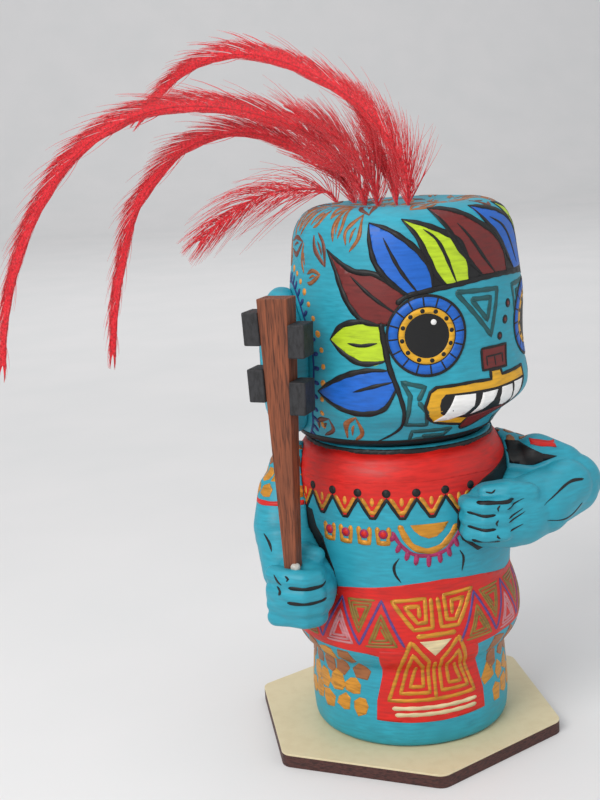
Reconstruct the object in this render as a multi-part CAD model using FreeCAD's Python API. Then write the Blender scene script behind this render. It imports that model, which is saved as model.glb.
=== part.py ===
"""Painted figure on a hexagonal stand: turned body, turning head, feather crest and toothed club.

Frame: millimetres, +Z up. The origin is on the body's axis, on the stand's underside. The figure's front
is -Y and its right hand is at -X. Angles about +Z are counted from +X, so the front is at -90 degrees.
"""
import FreeCAD, Part
import math
import os

V = FreeCAD.Vector

# ---- stand ----
BOARD_THICK = 2.6
LAMINATE_THICK = 0.4
STAND_CORNER_R = 35.0          # hexagon centre to corner, before rounding
STAND_CORNER_ROUND = 2.8
STAND_SHIFT = (-0.95, 1.47)    # the hexagon's centre, seen from the body's axis
SCREW_R = 1.25
SCREW_HEAD_R = 2.6
SCREW_HEAD_THICK = 1.3
SCREW_LENGTH = 12.0
SCREW_SPACING = 16.0
SCREW_SLOT_WIDTH = 0.6
SCREW_SLOT_DEPTH = 0.5

# ---- body: radii and heights above the stand's top ----
DRUM_R = 21.5
DRUM_HEIGHT = 17.6
DRUM_FOOT_ROUND = 1.3
DRUM_LEAN = 0.3                # how much narrower the drum is at its foot and below the groove
CREASE_R = 20.9                # the groove where the hip roll starts
BELT_R = 24.6
BELT_HEIGHT = 16.0             # the hip roll's own height
TORSO_R = 23.1
TORSO_HEIGHT = 20.4            # from the hip roll to the start of the shoulder's round
SHOULDER_ROUND = 8.4
NECK_R = 19.6
NECK_HEIGHT = 1.9
NECK_LEDGE = 0.7               # the flat shoulder round the neck's foot
# The profile between those sizes: (share of the stretch's height, how far inside its radius).
DRUM_PROFILE = ((0.35, 0.0), (0.70, DRUM_LEAN))
BELT_PROFILE = ((0.09, 2.1), (0.30, 0.3), (0.52, 0.0), (0.77, 0.7))
TORSO_PROFILE = ((0.0, 0.5), (0.30, 0.0), (0.75, 0.0), (1.0, 0.2))
SHOULDER_BEND = (0.62, 2.7)    # share of the shoulder's height, and how far outside the neck's radius

# ---- head ----
HEAD_R = 24.0
HEAD_HEIGHT = 47.4
HEAD_FORWARD = 3.15            # the head's middle is this far ahead of the neck's axis
HEAD_TURN = 39.5               # degrees that the face looks to the figure's left
HEAD_CLEARANCE = 0.3           # air between the neck and the head
MUZZLE_OUT = 1.1
MUZZLE_SPREAD = 38.0           # degrees each side of the face's middle
CROWN_DISH = 0.9               # how far the crown's middle lies below its rim
CROWN_RIM = 1.0                # the flat left round the dish
EAR_HALF_HEIGHT = 15.6
EAR_HALF_WIDTH = 9.6
EAR_OUT = 6.6                  # how far an ear stands out from the head
EAR_ROOT = 5.0                 # how far inside the head's side an ear's blank starts before it is fitted
EAR_DISH_DEPTH = 2.2
EAR_LIP = 0.62                 # where the ear's lip is highest, as a share of its half width
EAR_EDGE = ((0.99, 0.55), (0.86, 0.86))   # its side: shares of the half width and of the blank's depth
EAR_ANGLE = 129.0              # from the face's middle round to an ear's middle
EAR_MIDDLE = 16.2              # an ear's middle above the head's underside

# ---- pins and sockets ----
NECK_PIN_R = 3.0
NECK_PIN_IN_BODY = 14.0
NECK_PIN_IN_HEAD = 14.0
NECK_PIN_RUNNING = 0.06        # radial clearance that the head turns on
NECK_PIN_END_ROOM = 0.6
ARM_PIN_R = 1.5
ARM_PIN_IN_BODY = 8.0
ARM_PIN_IN_ARM = 4.0
ARM_PIN_RISE = 1.26            # the arm pins' height above the start of the shoulder's round
QUILL_R = 0.9
QUILL_DEPTH = 6.0
QUILL_PROUD = 1.0              # how far a quill runs up inside the feather's root
CREST_STAGGER = 1.3            # sockets lie this far left and right of the head's middle line

# ---- arms ----
RIGHT_SHOULDER_ANGLE = 176.0
LEFT_SHOULDER_ANGLE = -9.0
ARM_SHOULDER_R = 6.9
ARM_ELBOW_RIGHT_R = 7.8
ARM_ELBOW_LEFT_R = 5.9
WRIST_R = 6.7
FIST_R = 7.1
FINGER_TAPER = 0.3             # the left fist is this much thinner at the fingertips
GRIP_TAPER = 1.2               # and the right fist, closed round the club
LIMB_STEP = 0.2                # a limb's second stretch starts this much thinner than the first
FOREARM_DROP = 0.5             # and the right forearm this much lower than its elbow
WEB_R = 4.4                    # the solid web in the crook of the left arm
WEB_TAPER = 0.4
HAND_BEYOND_HEAD = 5.5         # the club hand's middle stands this far outside the head's side

# ---- club ----
CLUB_LENGTH = 55.3
CLUB_TOP_WIDTH = 6.4
CLUB_FOOT_WIDTH = 2.6
CLUB_TOP_THICK = 4.9
CLUB_FOOT_THICK = 3.2
CLUB_TURN = -30.0              # degrees that the shaft's broad face is turned about +Z
CLUB_AHEAD = 3.0               # the shaft stands this far ahead of the knuckles' middle
CLUB_OUTWARD = 1.5             # and this far outward of it
CLUB_SEAT_DEPTH = 1.4          # the shaft's foot is let into the fist by this
TOOTH_HEIGHT = 6.6
TOOTH_OUT = 3.4
TOOTH_THICK = 5.4
TOOTH_UPPER_BELOW_TOP = 2.6    # from the shaft's top to an upper tooth's top edge
TOOTH_GAP = 4.6                # between an upper tooth and the lower one on the same edge
INNER_TEETH_DROP = 2.4         # the inner teeth sit lower than the outer ones by this
GLUE_BEAD_R = 1.0
GLUE_BEAD_ANGLE = -80.0        # the side of the shaft's foot that the bead lies on

# ---- feathers ----
FEATHER_THICK = 0.9
LONG_HALF_WIDTH = 4.4
FLUFF_HALF_WIDTH = 3.8
BLADE_ROOT = 0.16              # a blade's width at its root, as a share of the full width
BLADE_TIP = 0.06               # and at its tip
BLADE_FULL_AT = 1 / 3          # where along its length it is full

STAND_TOP = BOARD_THICK + LAMINATE_THICK
CREASE_Z = STAND_TOP + DRUM_HEIGHT
BELT_TOP_Z = CREASE_Z + BELT_HEIGHT
SHOULDER_START_Z = BELT_TOP_Z + TORSO_HEIGHT
NECK_SEAT_Z = SHOULDER_START_Z + SHOULDER_ROUND
NECK_TOP_Z = NECK_SEAT_Z + NECK_HEIGHT
HEAD_Z = NECK_TOP_Z + HEAD_CLEARANCE
FACE_ANGLE = -90.0 + HEAD_TURN
ROUND_MIDDLE = 1 - math.sqrt(0.5)   # how far a quarter round's middle lies inside its corner, per radius


def polar(radius, angle, z=0.0):
    """A point at a radius and an angle in degrees about the body's axis."""
    return V(radius * math.cos(math.radians(angle)), radius * math.sin(math.radians(angle)), z)


HEAD_MIDDLE = polar(HEAD_FORWARD, FACE_ANGLE)


def spline(points):
    """An edge through the points."""
    curve = Part.BSplineCurve()
    curve.interpolate(points)
    return curve.toShape()


# ---------------------------------------------------------------- stand
def hexagon(thick, z):
    """The stand's outline with rounded corners, one corner at the front, as a plate."""
    centre = V(STAND_SHIFT[0], STAND_SHIFT[1], z)
    corners = [centre + polar(STAND_CORNER_R, -90 + 60 * k) for k in range(6)]
    plate = Part.Face(Part.makePolygon(corners + corners[:1])).extrude(V(0, 0, thick))
    upright = [e for e in plate.Edges if abs(e.BoundBox.ZLength - thick) < 1e-6]
    return plate.makeFillet(STAND_CORNER_ROUND, upright)


def screw(x):
    """A countersunk wood screw whose head lies flush with the board's underside."""
    head = Part.makeCone(SCREW_HEAD_R, SCREW_R, SCREW_HEAD_THICK, V(x, 0, 0))
    shank = Part.makeCylinder(SCREW_R, SCREW_LENGTH - SCREW_HEAD_THICK, V(x, 0, SCREW_HEAD_THICK))
    return head.fuse(shank).removeSplitter()


def screw_slot(x):
    """The driver slot across a screw's head."""
    return Part.makeBox(2 * SCREW_HEAD_R, SCREW_SLOT_WIDTH, SCREW_SLOT_DEPTH,
                        V(x - SCREW_HEAD_R, -SCREW_SLOT_WIDTH / 2, 0))


SCREW_XS = (-SCREW_SPACING / 2, SCREW_SPACING / 2)
SCREW_BODIES = Part.makeCompound([screw(x) for x in SCREW_XS])


def make_base_board():
    return hexagon(BOARD_THICK, 0.0).cut(SCREW_BODIES)


def make_base_top_laminate():
    return hexagon(LAMINATE_THICK, BOARD_THICK).cut(SCREW_BODIES)


def make_base_screws():
    return Part.makeCompound([screw(x).cut(screw_slot(x)) for x in SCREW_XS])


# ---------------------------------------------------------------- pins
def neck_pin(radius, z_low, z_high):
    return Part.makeCylinder(radius, z_high - z_low, V(0, 0, z_low))


NECK_PIN_LOW = NECK_TOP_Z - NECK_PIN_IN_BODY
NECK_PIN_HIGH = HEAD_Z + NECK_PIN_IN_HEAD
ARM_PIN_Z = SHOULDER_START_Z + ARM_PIN_RISE


def arm_pin(angle):
    """The pin that runs out through the shoulder at an angle about the body's axis."""
    start = polar(TORSO_R - ARM_PIN_IN_BODY, angle, ARM_PIN_Z)
    return Part.makeCylinder(ARM_PIN_R, ARM_PIN_IN_BODY + ARM_PIN_IN_ARM, start, polar(1, angle))


RIGHT_PIN = arm_pin(RIGHT_SHOULDER_ANGLE)
LEFT_PIN = arm_pin(LEFT_SHOULDER_ANGLE)


# ---------------------------------------------------------------- body
def stretch(profile, radius, low, height):
    """Points of a profile given as shares of a stretch's height and insets from its radius."""
    return [V(radius - inset, 0, low + share * height) for share, inset in profile]


def body_form():
    """The turned body without its holes: drum, hip roll, torso, shoulder and neck."""
    foot_low = V(DRUM_R - DRUM_FOOT_ROUND, 0, STAND_TOP)
    foot_high = V(DRUM_R - DRUM_LEAN, 0, STAND_TOP + DRUM_FOOT_ROUND)
    inside = ROUND_MIDDLE * DRUM_FOOT_ROUND
    foot_middle = V(foot_high.x - inside, 0, STAND_TOP + inside)
    crease = V(CREASE_R, 0, CREASE_Z)
    torso = stretch(TORSO_PROFILE, TORSO_R, BELT_TOP_Z, TORSO_HEIGHT)
    bend_share, bend_out = SHOULDER_BEND
    bend = V(NECK_R + bend_out, 0, SHOULDER_START_Z + bend_share * SHOULDER_ROUND)
    ledge = V(NECK_R + NECK_LEDGE, 0, NECK_SEAT_Z)
    neck_low, neck_high = V(NECK_R, 0, NECK_SEAT_Z), V(NECK_R, 0, NECK_TOP_Z)
    middle_low, middle_high = V(0, 0, STAND_TOP), V(0, 0, NECK_TOP_Z)
    edges = [
        Part.makeLine(middle_low, foot_low),
        Part.Arc(foot_low, foot_middle, foot_high).toShape(),
        spline([foot_high] + stretch(DRUM_PROFILE, DRUM_R, STAND_TOP, DRUM_HEIGHT) + [crease]),
        spline([crease] + stretch(BELT_PROFILE, BELT_R, CREASE_Z, BELT_HEIGHT) + torso[:1]),
        spline(torso + [bend, ledge]),
        Part.makeLine(ledge, neck_low),
        Part.makeLine(neck_low, neck_high),
        Part.makeLine(neck_high, middle_high),
        Part.makeLine(middle_high, middle_low),
    ]
    return Part.Face(Part.Wire(edges)).revolve(V(0, 0, 0), V(0, 0, 1), 360)


BODY_FORM = body_form()


def make_body_core():
    tools = [neck_pin(NECK_PIN_R, NECK_PIN_LOW, NECK_TOP_Z), RIGHT_PIN, LEFT_PIN, SCREW_BODIES]
    return BODY_FORM.cut(tools)


def make_neck_dowel():
    return neck_pin(NECK_PIN_R, NECK_PIN_LOW, NECK_PIN_HIGH)


# ---------------------------------------------------------------- arms
def limb(start, start_r, end, end_r):
    """A limb with round ends of two radii and a straight taper that meets both smoothly."""
    along = end - start
    length = along.Length
    lean = math.asin((start_r - end_r) / length)
    turn = FreeCAD.Rotation(V(0, 0, 1), along)

    def rim(radius, height, angle):
        return V(radius * math.cos(angle), 0, height + radius * math.sin(angle))

    low, high = rim(start_r, 0, lean), rim(end_r, length, lean)
    bottom, top = V(0, 0, -start_r), V(0, 0, length + end_r)
    wire = Part.Wire([
        Part.Arc(bottom, rim(start_r, 0, (lean - math.pi / 2) / 2), low).toShape(),
        Part.makeLine(low, high),
        Part.Arc(high, rim(end_r, length, (lean + math.pi / 2) / 2), top).toShape(),
        Part.makeLine(top, bottom),
    ])
    solid = Part.Face(wire).revolve(V(0, 0, 0), V(0, 0, 1), 360)
    solid.Placement = FreeCAD.Placement(start, turn)
    return solid


SHOULDER_OUT = TORSO_R - 1.2
RIGHT_SHOULDER = polar(SHOULDER_OUT, RIGHT_SHOULDER_ANGLE, ARM_PIN_Z + 0.3)
RIGHT_ELBOW = polar(TORSO_R + 1.8, 184, ARM_PIN_Z - 11.8)
HAND_RADIUS = HEAD_R + HAND_BEYOND_HEAD
RIGHT_WRIST = polar(HAND_RADIUS - 3.8, 206, ARM_PIN_Z - 19.8)
RIGHT_KNUCKLES = polar(HAND_RADIUS, 211, ARM_PIN_Z - 20.0)
RIGHT_FINGERTIPS = polar(HAND_RADIUS - 0.8, 213.5, ARM_PIN_Z - 20.3)
FIST_TOP_Z = RIGHT_KNUCKLES.z + FIST_R
CLUB_FOOT = V(RIGHT_KNUCKLES.x - CLUB_OUTWARD, RIGHT_KNUCKLES.y - CLUB_AHEAD, FIST_TOP_Z - CLUB_SEAT_DEPTH)

LEFT_SHOULDER = polar(TORSO_R - 3.0, LEFT_SHOULDER_ANGLE, ARM_PIN_Z + 0.6)
LEFT_ELBOW = polar(TORSO_R + 13.2, -17.8, ARM_PIN_Z - 3.6)
LEFT_FOREARM = polar(TORSO_R + 12.8, -20.5, ARM_PIN_Z - 4.4)
LEFT_WRIST = polar(TORSO_R + 5.7, -47.3, ARM_PIN_Z - 6.2)
LEFT_KNUCKLES = polar(TORSO_R + 4.4, -51.0, ARM_PIN_Z - 6.0)
LEFT_FINGERTIPS = polar(TORSO_R + 2.6, -57.5, ARM_PIN_Z - 5.9)
WEB_INNER = polar(TORSO_R + 0.6, -30, ARM_PIN_Z - 4.2)
WEB_OUTER = polar(TORSO_R + 7.0, -23, ARM_PIN_Z - 3.9)


# ---------------------------------------------------------------- club
def rectangle(width, thick, z):
    """The four corners of a rectangle square to the club's axis."""
    half_w, half_t = width / 2, thick / 2
    return [V(-half_w, -half_t, z), V(half_w, -half_t, z), V(half_w, half_t, z), V(-half_w, half_t, z)]


def tapered_block(low, high):
    """A solid with flat faces between two rectangles, each given by its four corners."""
    loops = [low, high] + [[low[k], low[(k + 1) % 4], high[(k + 1) % 4], high[k]] for k in range(4)]
    faces = [Part.Face(Part.makePolygon(loop + loop[:1])) for loop in loops]
    return Part.Solid(Part.Shell(faces))


def place_on_club(shape):
    """Bring a shape from the club's own frame, with the axis upright, to the fist."""
    stand = FreeCAD.Placement(CLUB_FOOT, FreeCAD.Rotation(V(0, 0, 1), CLUB_TURN))
    shape.Placement = stand.multiply(shape.Placement)
    return shape


def club_blank():
    """The tapered shaft, foot at the socket's floor."""
    return place_on_club(tapered_block(rectangle(CLUB_FOOT_WIDTH, CLUB_FOOT_THICK, 0),
                                       rectangle(CLUB_TOP_WIDTH, CLUB_TOP_THICK, CLUB_LENGTH)))


CLUB_BLANK = club_blank()


def club_width(height):
    """The shaft's width at a height above its foot."""
    return CLUB_FOOT_WIDTH + (CLUB_TOP_WIDTH - CLUB_FOOT_WIDTH) * height / CLUB_LENGTH


def make_tooth(side, row):
    """One square tooth: side -1 is the outer edge and +1 the inner one; row 0 is the upper."""
    top = CLUB_LENGTH - TOOTH_UPPER_BELOW_TOP - row * (TOOTH_HEIGHT + TOOTH_GAP)
    if side > 0:
        top -= INNER_TEETH_DROP
    low = top - TOOTH_HEIGHT
    edge_low, edge_top = club_width(low) / 2, club_width(top) / 2
    profile = [V(side * edge_low, 0, low), V(side * (edge_low + TOOTH_OUT), 0, low),
               V(side * (edge_top + TOOTH_OUT), 0, top), V(side * edge_top, 0, top)]
    block = Part.Face(Part.makePolygon(profile + profile[:1])).extrude(V(0, TOOTH_THICK, 0))
    block.translate(V(0, -TOOTH_THICK / 2, 0))
    return place_on_club(block)


def make_right_arm():
    forearm_start = RIGHT_ELBOW - V(0, 0, FOREARM_DROP)
    arm = limb(RIGHT_SHOULDER, ARM_SHOULDER_R, RIGHT_ELBOW, ARM_ELBOW_RIGHT_R)
    arm = arm.fuse(limb(forearm_start, ARM_ELBOW_RIGHT_R - LIMB_STEP, RIGHT_WRIST, WRIST_R))
    arm = arm.fuse(limb(RIGHT_KNUCKLES, FIST_R, RIGHT_FINGERTIPS, FIST_R - GRIP_TAPER))
    return arm.cut([BODY_FORM, RIGHT_PIN, CLUB_BLANK])


RIGHT_ARM = make_right_arm()


def make_glue_bead():
    """The bead of glue on the fist, round the front of the shaft's foot."""
    middle = CLUB_FOOT + polar(CLUB_FOOT_THICK / 2, GLUE_BEAD_ANGLE, CLUB_SEAT_DEPTH - 0.5)
    solid = Part.makeSphere(GLUE_BEAD_R, middle).cut([RIGHT_ARM, CLUB_BLANK])
    return max(solid.Solids, key=lambda piece: piece.Volume)


def make_left_arm():
    arm = limb(LEFT_SHOULDER, ARM_SHOULDER_R - LIMB_STEP, LEFT_ELBOW, ARM_ELBOW_LEFT_R)
    arm = arm.fuse(limb(LEFT_FOREARM, ARM_ELBOW_LEFT_R - LIMB_STEP / 2, LEFT_WRIST, WRIST_R))
    arm = arm.fuse(limb(LEFT_KNUCKLES, FIST_R - LIMB_STEP / 2, LEFT_FINGERTIPS, FIST_R - FINGER_TAPER))
    arm = arm.fuse(limb(WEB_INNER, WEB_R, WEB_OUTER, WEB_R - WEB_TAPER))
    return arm.cut([BODY_FORM, LEFT_PIN])


# ---------------------------------------------------------------- head
# Rings from the underside to the crown: height and radius as shares of the head's own, the middle's
# place as a share of HEAD_FORWARD, and the muzzle's share of MUZZLE_OUT.
HEAD_RINGS = (
    (0.000, 0.820, -0.57, 0.0),
    (0.030, 0.872, -0.30, 0.0),
    (0.085, 0.912, 0.05, 0.1),
    (0.140, 0.966, 0.62, 0.6),
    (0.190, 0.996, 0.95, 1.0),
    (0.270, 1.000, 1.00, 0.8),
    (0.360, 0.992, 1.00, 0.2),
    (0.450, 0.994, 1.00, 0.0),
    (0.550, 1.002, 1.00, 0.0),
    (0.650, 0.996, 1.00, 0.0),
    (0.730, 0.975, 1.00, 0.0),
    (0.810, 0.958, 1.00, 0.0),
    (0.875, 0.940, 1.00, 0.0),
    (0.925, 0.905, 1.00, 0.0),
    (0.965, 0.845, 1.00, 0.0),
    (0.990, 0.765, 1.00, 0.0),
    (1.000, 0.680, 1.00, 0.0),
)
RING_POINTS = 24


def head_ring(height, radius, forward, muzzle):
    """One closed ring of the head, with the muzzle's swelling round the face's middle."""
    centre = polar(HEAD_FORWARD * forward, FACE_ANGLE, HEAD_Z + HEAD_HEIGHT * height)
    points = []
    for k in range(RING_POINTS):
        angle = 360.0 * k / RING_POINTS
        swell = muzzle * MUZZLE_OUT * math.exp(-((angle + 180) % 360 - 180) ** 2 / (2 * MUZZLE_SPREAD ** 2))
        points.append(centre + polar(HEAD_R * radius + swell, FACE_ANGLE + angle))
    curve = Part.BSplineCurve()
    curve.interpolate(points, PeriodicFlag=True)
    return Part.Wire([curve.toShape()])


def head_form():
    """The head as one solid, before its ears, bore and sockets."""
    solid = Part.makeLoft([head_ring(*ring) for ring in HEAD_RINGS], True, False)
    ball_r = (DISH_R ** 2 + CROWN_DISH ** 2) / (2 * CROWN_DISH)
    ball = Part.makeSphere(ball_r, V(HEAD_MIDDLE.x, HEAD_MIDDLE.y, CROWN_Z - CROWN_DISH + ball_r))
    return solid.cut(ball)


CROWN_Z = HEAD_Z + HEAD_HEIGHT
DISH_R = HEAD_R * HEAD_RINGS[-1][1] - CROWN_RIM
HEAD_FORM = head_form()


def crown_z_at(distance):
    """The height of the dished crown at a distance from the head's middle."""
    return CROWN_Z - CROWN_DISH * (1 - min(1.0, distance / DISH_R) ** 2)


def make_ear(side):
    """A round raised ear: side -1 is the figure's right. Its outer face is dished."""
    angle = FACE_ANGLE + side * EAR_ANGLE
    middle_z = HEAD_Z + EAR_MIDDLE
    depth = EAR_OUT + EAR_ROOT
    lip = V(EAR_LIP, 0, depth)
    dish = V(0, 0, depth - EAR_DISH_DEPTH)
    profile = Part.Wire([
        Part.makeLine(V(0, 0, 0), V(1, 0, 0)),
        spline([V(1, 0, 0)] + [V(out, 0, up * depth) for out, up in EAR_EDGE] + [lip]),
        spline([lip, V(0.65 * EAR_LIP, 0, depth - 0.45 * EAR_DISH_DEPTH), dish]),
        Part.makeLine(dish, V(0, 0, 0)),
    ])
    button = Part.Face(profile).revolve(V(0, 0, 0), V(0, 0, 1), 360)
    scale = FreeCAD.Matrix()
    scale.scale(V(EAR_HALF_HEIGHT, EAR_HALF_WIDTH, 1))
    button = button.transformGeometry(scale)
    outward = polar(1, angle)
    across = V(0, 0, 1).cross(outward)
    place = FreeCAD.Matrix(0, across.x, outward.x, 0, 0, across.y, outward.y, 0, 1, across.z, outward.z, 0)
    button = button.transformGeometry(place)
    button.translate(HEAD_MIDDLE + polar(HEAD_R - EAR_ROOT, angle, middle_z))
    return button.cut(HEAD_FORM)


# ---------------------------------------------------------------- crest
def socket_place(back, sideways):
    """A crest socket's mouth: back along the head's middle line and across it."""
    point = HEAD_MIDDLE + polar(-back, FACE_ANGLE) + polar(sideways, FACE_ANGLE + 90)
    distance = math.hypot(point.x - HEAD_MIDDLE.x, point.y - HEAD_MIDDLE.y)
    return V(point.x, point.y, crown_z_at(distance))


# name: (back along the middle line, across it, sweep angle from the body's front-back line,
#        half width, middle line as (out, up) points in the feather's own upright plane)
FEATHERS = {
    "feather_front_long": (-2.0, 0.0, 140, LONG_HALF_WIDTH, (
        (0.5, 6), (4.6, 14.3), (12.5, 21.9), (23.0, 28.1), (34.0, 31.9), (43.1, 32.6), (52.0, 30.9),
        (60.1, 26.8), (67.9, 20.6))),
    "feather_middle_long": (8.0, -CREST_STAGGER, 155, LONG_HALF_WIDTH, (
        (1.4, 4), (5.2, 8.4), (11.4, 14.9), (22.2, 19.6), (33.3, 22.0), (45.0, 22.1), (56.0, 19.1),
        (65.0, 14.0), (73.3, 6.0), (79.4, -2.7), (84.5, -13.0), (87.9, -23.5), (89.8, -34.0))),
    "feather_rear_long": (13.0, CREST_STAGGER, 147, LONG_HALF_WIDTH, (
        (1.6, 3.4), (4.8, 7.1), (11.6, 11.6), (20.5, 15.2), (29.5, 16.1), (39.9, 13.6), (48.3, 7.7),
        (54.3, 1.1), (59.0, -9.1), (62.7, -20.9), (65.0, -34.0))),
    "feather_front_fluff": (2.0, CREST_STAGGER, 132, FLUFF_HALF_WIDTH, (
        (0.7, 4), (3.2, 8.3), (6.2, 15.5), (10.6, 22.7))),
    "feather_middle_fluff": (5.0, -CREST_STAGGER, 168, FLUFF_HALF_WIDTH, (
        (0.6, 3.4), (3.4, 8.6), (8.4, 14.5), (15.5, 19.0))),
    "feather_rear_fluff": (15.5, -CREST_STAGGER, 160, FLUFF_HALF_WIDTH, (
        (2.0, 2.6), (7.5, 3.6), (16.3, 2.9), (24.4, -1.2), (31.6, -6.6))),
}


def quill(name):
    """The straight quill of a feather in its socket."""
    back, sideways = FEATHERS[name][:2]
    mouth = socket_place(back, sideways)
    return Part.makeCylinder(QUILL_R, QUILL_DEPTH + QUILL_PROUD, mouth - V(0, 0, QUILL_DEPTH))


def blade_half_width(half_width, share):
    """Half a blade's width at a share of its length."""
    if share < BLADE_FULL_AT:
        rise = math.sin(math.pi / 2 * share / BLADE_FULL_AT)
        return half_width * (BLADE_ROOT + (1 - BLADE_ROOT) * rise)
    fall = (share - BLADE_FULL_AT) / (1 - BLADE_FULL_AT)
    return half_width * (1 - (1 - BLADE_TIP) * fall ** 2)


def make_feather(name):
    """A feather: a thin blade that follows its middle line, on a quill let into the crown."""
    back, sideways, sweep, half_width, line = FEATHERS[name]
    mouth = socket_place(back, sideways)
    stations = [(0.0, 0.4)] + list(line)
    count = len(stations)
    upper, lower = [], []
    for k, (out, up) in enumerate(stations):
        before = stations[max(0, k - 1)]
        after = stations[min(count - 1, k + 1)]
        slope = math.atan2(after[1] - before[1], after[0] - before[0])
        width = blade_half_width(half_width, k / (count - 1))
        upper.append(V(out - width * math.sin(slope), 0, up + width * math.cos(slope)))
        lower.append(V(out + width * math.sin(slope), 0, up - width * math.cos(slope)))
    wire = Part.Wire([spline(upper), Part.makeLine(upper[-1], lower[-1]), spline(lower[::-1]),
                      Part.makeLine(lower[0], upper[0])])
    blade = Part.Face(wire).extrude(V(0, FEATHER_THICK, 0))
    blade.translate(V(0, -FEATHER_THICK / 2, 0))
    blade.Placement = FreeCAD.Placement(mouth, FreeCAD.Rotation(V(0, 0, 1), sweep)).multiply(blade.Placement)
    return blade.cut(HEAD_FORM).fuse(quill(name))


def make_head_block():
    bore = neck_pin(NECK_PIN_R + NECK_PIN_RUNNING, NECK_TOP_Z, NECK_PIN_HIGH + NECK_PIN_END_ROOM)
    return HEAD_FORM.cut([bore] + [quill(name) for name in FEATHERS])


NODES = {
    "base_board": make_base_board(),
    "base_top_laminate": make_base_top_laminate(),
    "base_screws": make_base_screws(),
    "body_core": make_body_core(),
    "neck_dowel": make_neck_dowel(),
    "right_arm": RIGHT_ARM,
    "right_arm_dowel": RIGHT_PIN,
    "left_arm": make_left_arm(),
    "left_arm_dowel": LEFT_PIN,
    "club_shaft": club_blank(),
    "club_tooth_outer_upper": make_tooth(-1, 0),
    "club_tooth_outer_lower": make_tooth(-1, 1),
    "club_tooth_inner_upper": make_tooth(1, 0),
    "club_tooth_inner_lower": make_tooth(1, 1),
    "club_glue_bead": make_glue_bead(),
    "head_block": make_head_block(),
    "ear_right": make_ear(-1),
    "ear_left": make_ear(1),
}
for feather_name in FEATHERS:
    NODES[feather_name] = make_feather(feather_name)

os.makedirs("parts", exist_ok=True)
for node, shape in NODES.items():
    shape.exportStep(os.path.join("parts", node + ".step"))
    print(f"{node:24s} solids {len(shape.Solids)} valid {shape.isValid()} volume {shape.Volume:9.1f}")
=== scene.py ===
"""Looks of the painted figure: brushed skins, painted ornament, a toothed club and a feather crest."""

import logging
import math
import random
from dataclasses import dataclass, field
from enum import Enum
from typing import Callable, ClassVar, Sequence

import bmesh
import bpy
from mathutils import Matrix, Vector, noise
from mathutils.bvhtree import BVHTree


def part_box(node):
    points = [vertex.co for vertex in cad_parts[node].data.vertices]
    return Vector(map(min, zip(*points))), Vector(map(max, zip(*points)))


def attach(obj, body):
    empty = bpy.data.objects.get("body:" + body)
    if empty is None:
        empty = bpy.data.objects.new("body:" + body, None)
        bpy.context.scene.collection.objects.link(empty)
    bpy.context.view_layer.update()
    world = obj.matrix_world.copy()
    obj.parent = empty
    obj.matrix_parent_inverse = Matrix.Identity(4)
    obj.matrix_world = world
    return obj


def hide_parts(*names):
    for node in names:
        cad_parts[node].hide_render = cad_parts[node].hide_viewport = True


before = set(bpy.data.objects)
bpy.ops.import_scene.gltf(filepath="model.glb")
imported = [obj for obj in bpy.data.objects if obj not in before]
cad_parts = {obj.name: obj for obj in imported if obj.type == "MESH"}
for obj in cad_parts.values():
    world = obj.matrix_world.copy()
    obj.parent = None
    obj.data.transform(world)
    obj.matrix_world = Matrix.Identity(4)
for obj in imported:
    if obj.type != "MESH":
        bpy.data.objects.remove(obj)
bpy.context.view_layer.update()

logging.basicConfig(level=logging.INFO, format="%(message)s")
log = logging.getLogger("figure")

MM = 0.001
REACH = 90.0                   # how far a ray looks for a skin, in millimetres
WAVE, RIPPLE = 9.0, 3.1        # the lengths of the hand-worked surface's waves, in millimetres
FAR_OUT = 45.0                 # rays onto a round form start this far from its middle
Point = tuple[float, float]
Colour = tuple[int, int, int]
BODY = "figure_body"
HEAD = "head"


def place(x: float, y: float, z: float) -> Vector:
    """A point in millimetres."""
    return Vector((x, y, z))


def polar(radius: float, angle: float, z: float = 0.0) -> Vector:
    """A point at a radius and an angle in degrees about the upright axis."""
    return Vector((radius * math.cos(math.radians(angle)), radius * math.sin(math.radians(angle)), z))


def node_box(node: str) -> tuple[Vector, Vector]:
    """A CAD node's lowest and highest corners in millimetres."""
    low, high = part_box(node)
    return low / MM, high / MM


# The frame's own measures, in millimetres.
HEAD_LOW, HEAD_TOP = node_box("head_block")
HEAD_Z = HEAD_LOW.z
HEAD_R = 24.0
HEAD_FORWARD = 3.15            # the head's middle is this far ahead of the neck's axis
FACE_ANGLE = -50.5             # where the face looks, in degrees from +X
HEAD_MIDDLE = polar(HEAD_FORWARD, FACE_ANGLE)
BODY_R = 22.5                  # the radius that the body's chart is unrolled at
NECK_TOP_Z = node_box("body_core")[1].z


# ---------------------------------------------------------------- finishes
def linear(colour: Colour) -> tuple[float, float, float, float]:
    """An sRGB colour of 0 to 255 as a linear one with full opacity.

    Args:
        colour: the sRGB colour.

    Returns:
        Its red, green, blue and opacity from 0 to 1.
    """
    def channel(value: float) -> float:
        """One channel of the linear colour."""
        share = value / 255
        return share / 12.92 if share <= 0.04045 else ((share + 0.055) / 1.055) ** 2.4
    return (*[channel(value) for value in colour], 1.0)


def shade(colour: Colour, factor: float) -> Colour:
    """The colour made darker or lighter."""
    return tuple(int(min(255, value * factor)) for value in colour)


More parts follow.
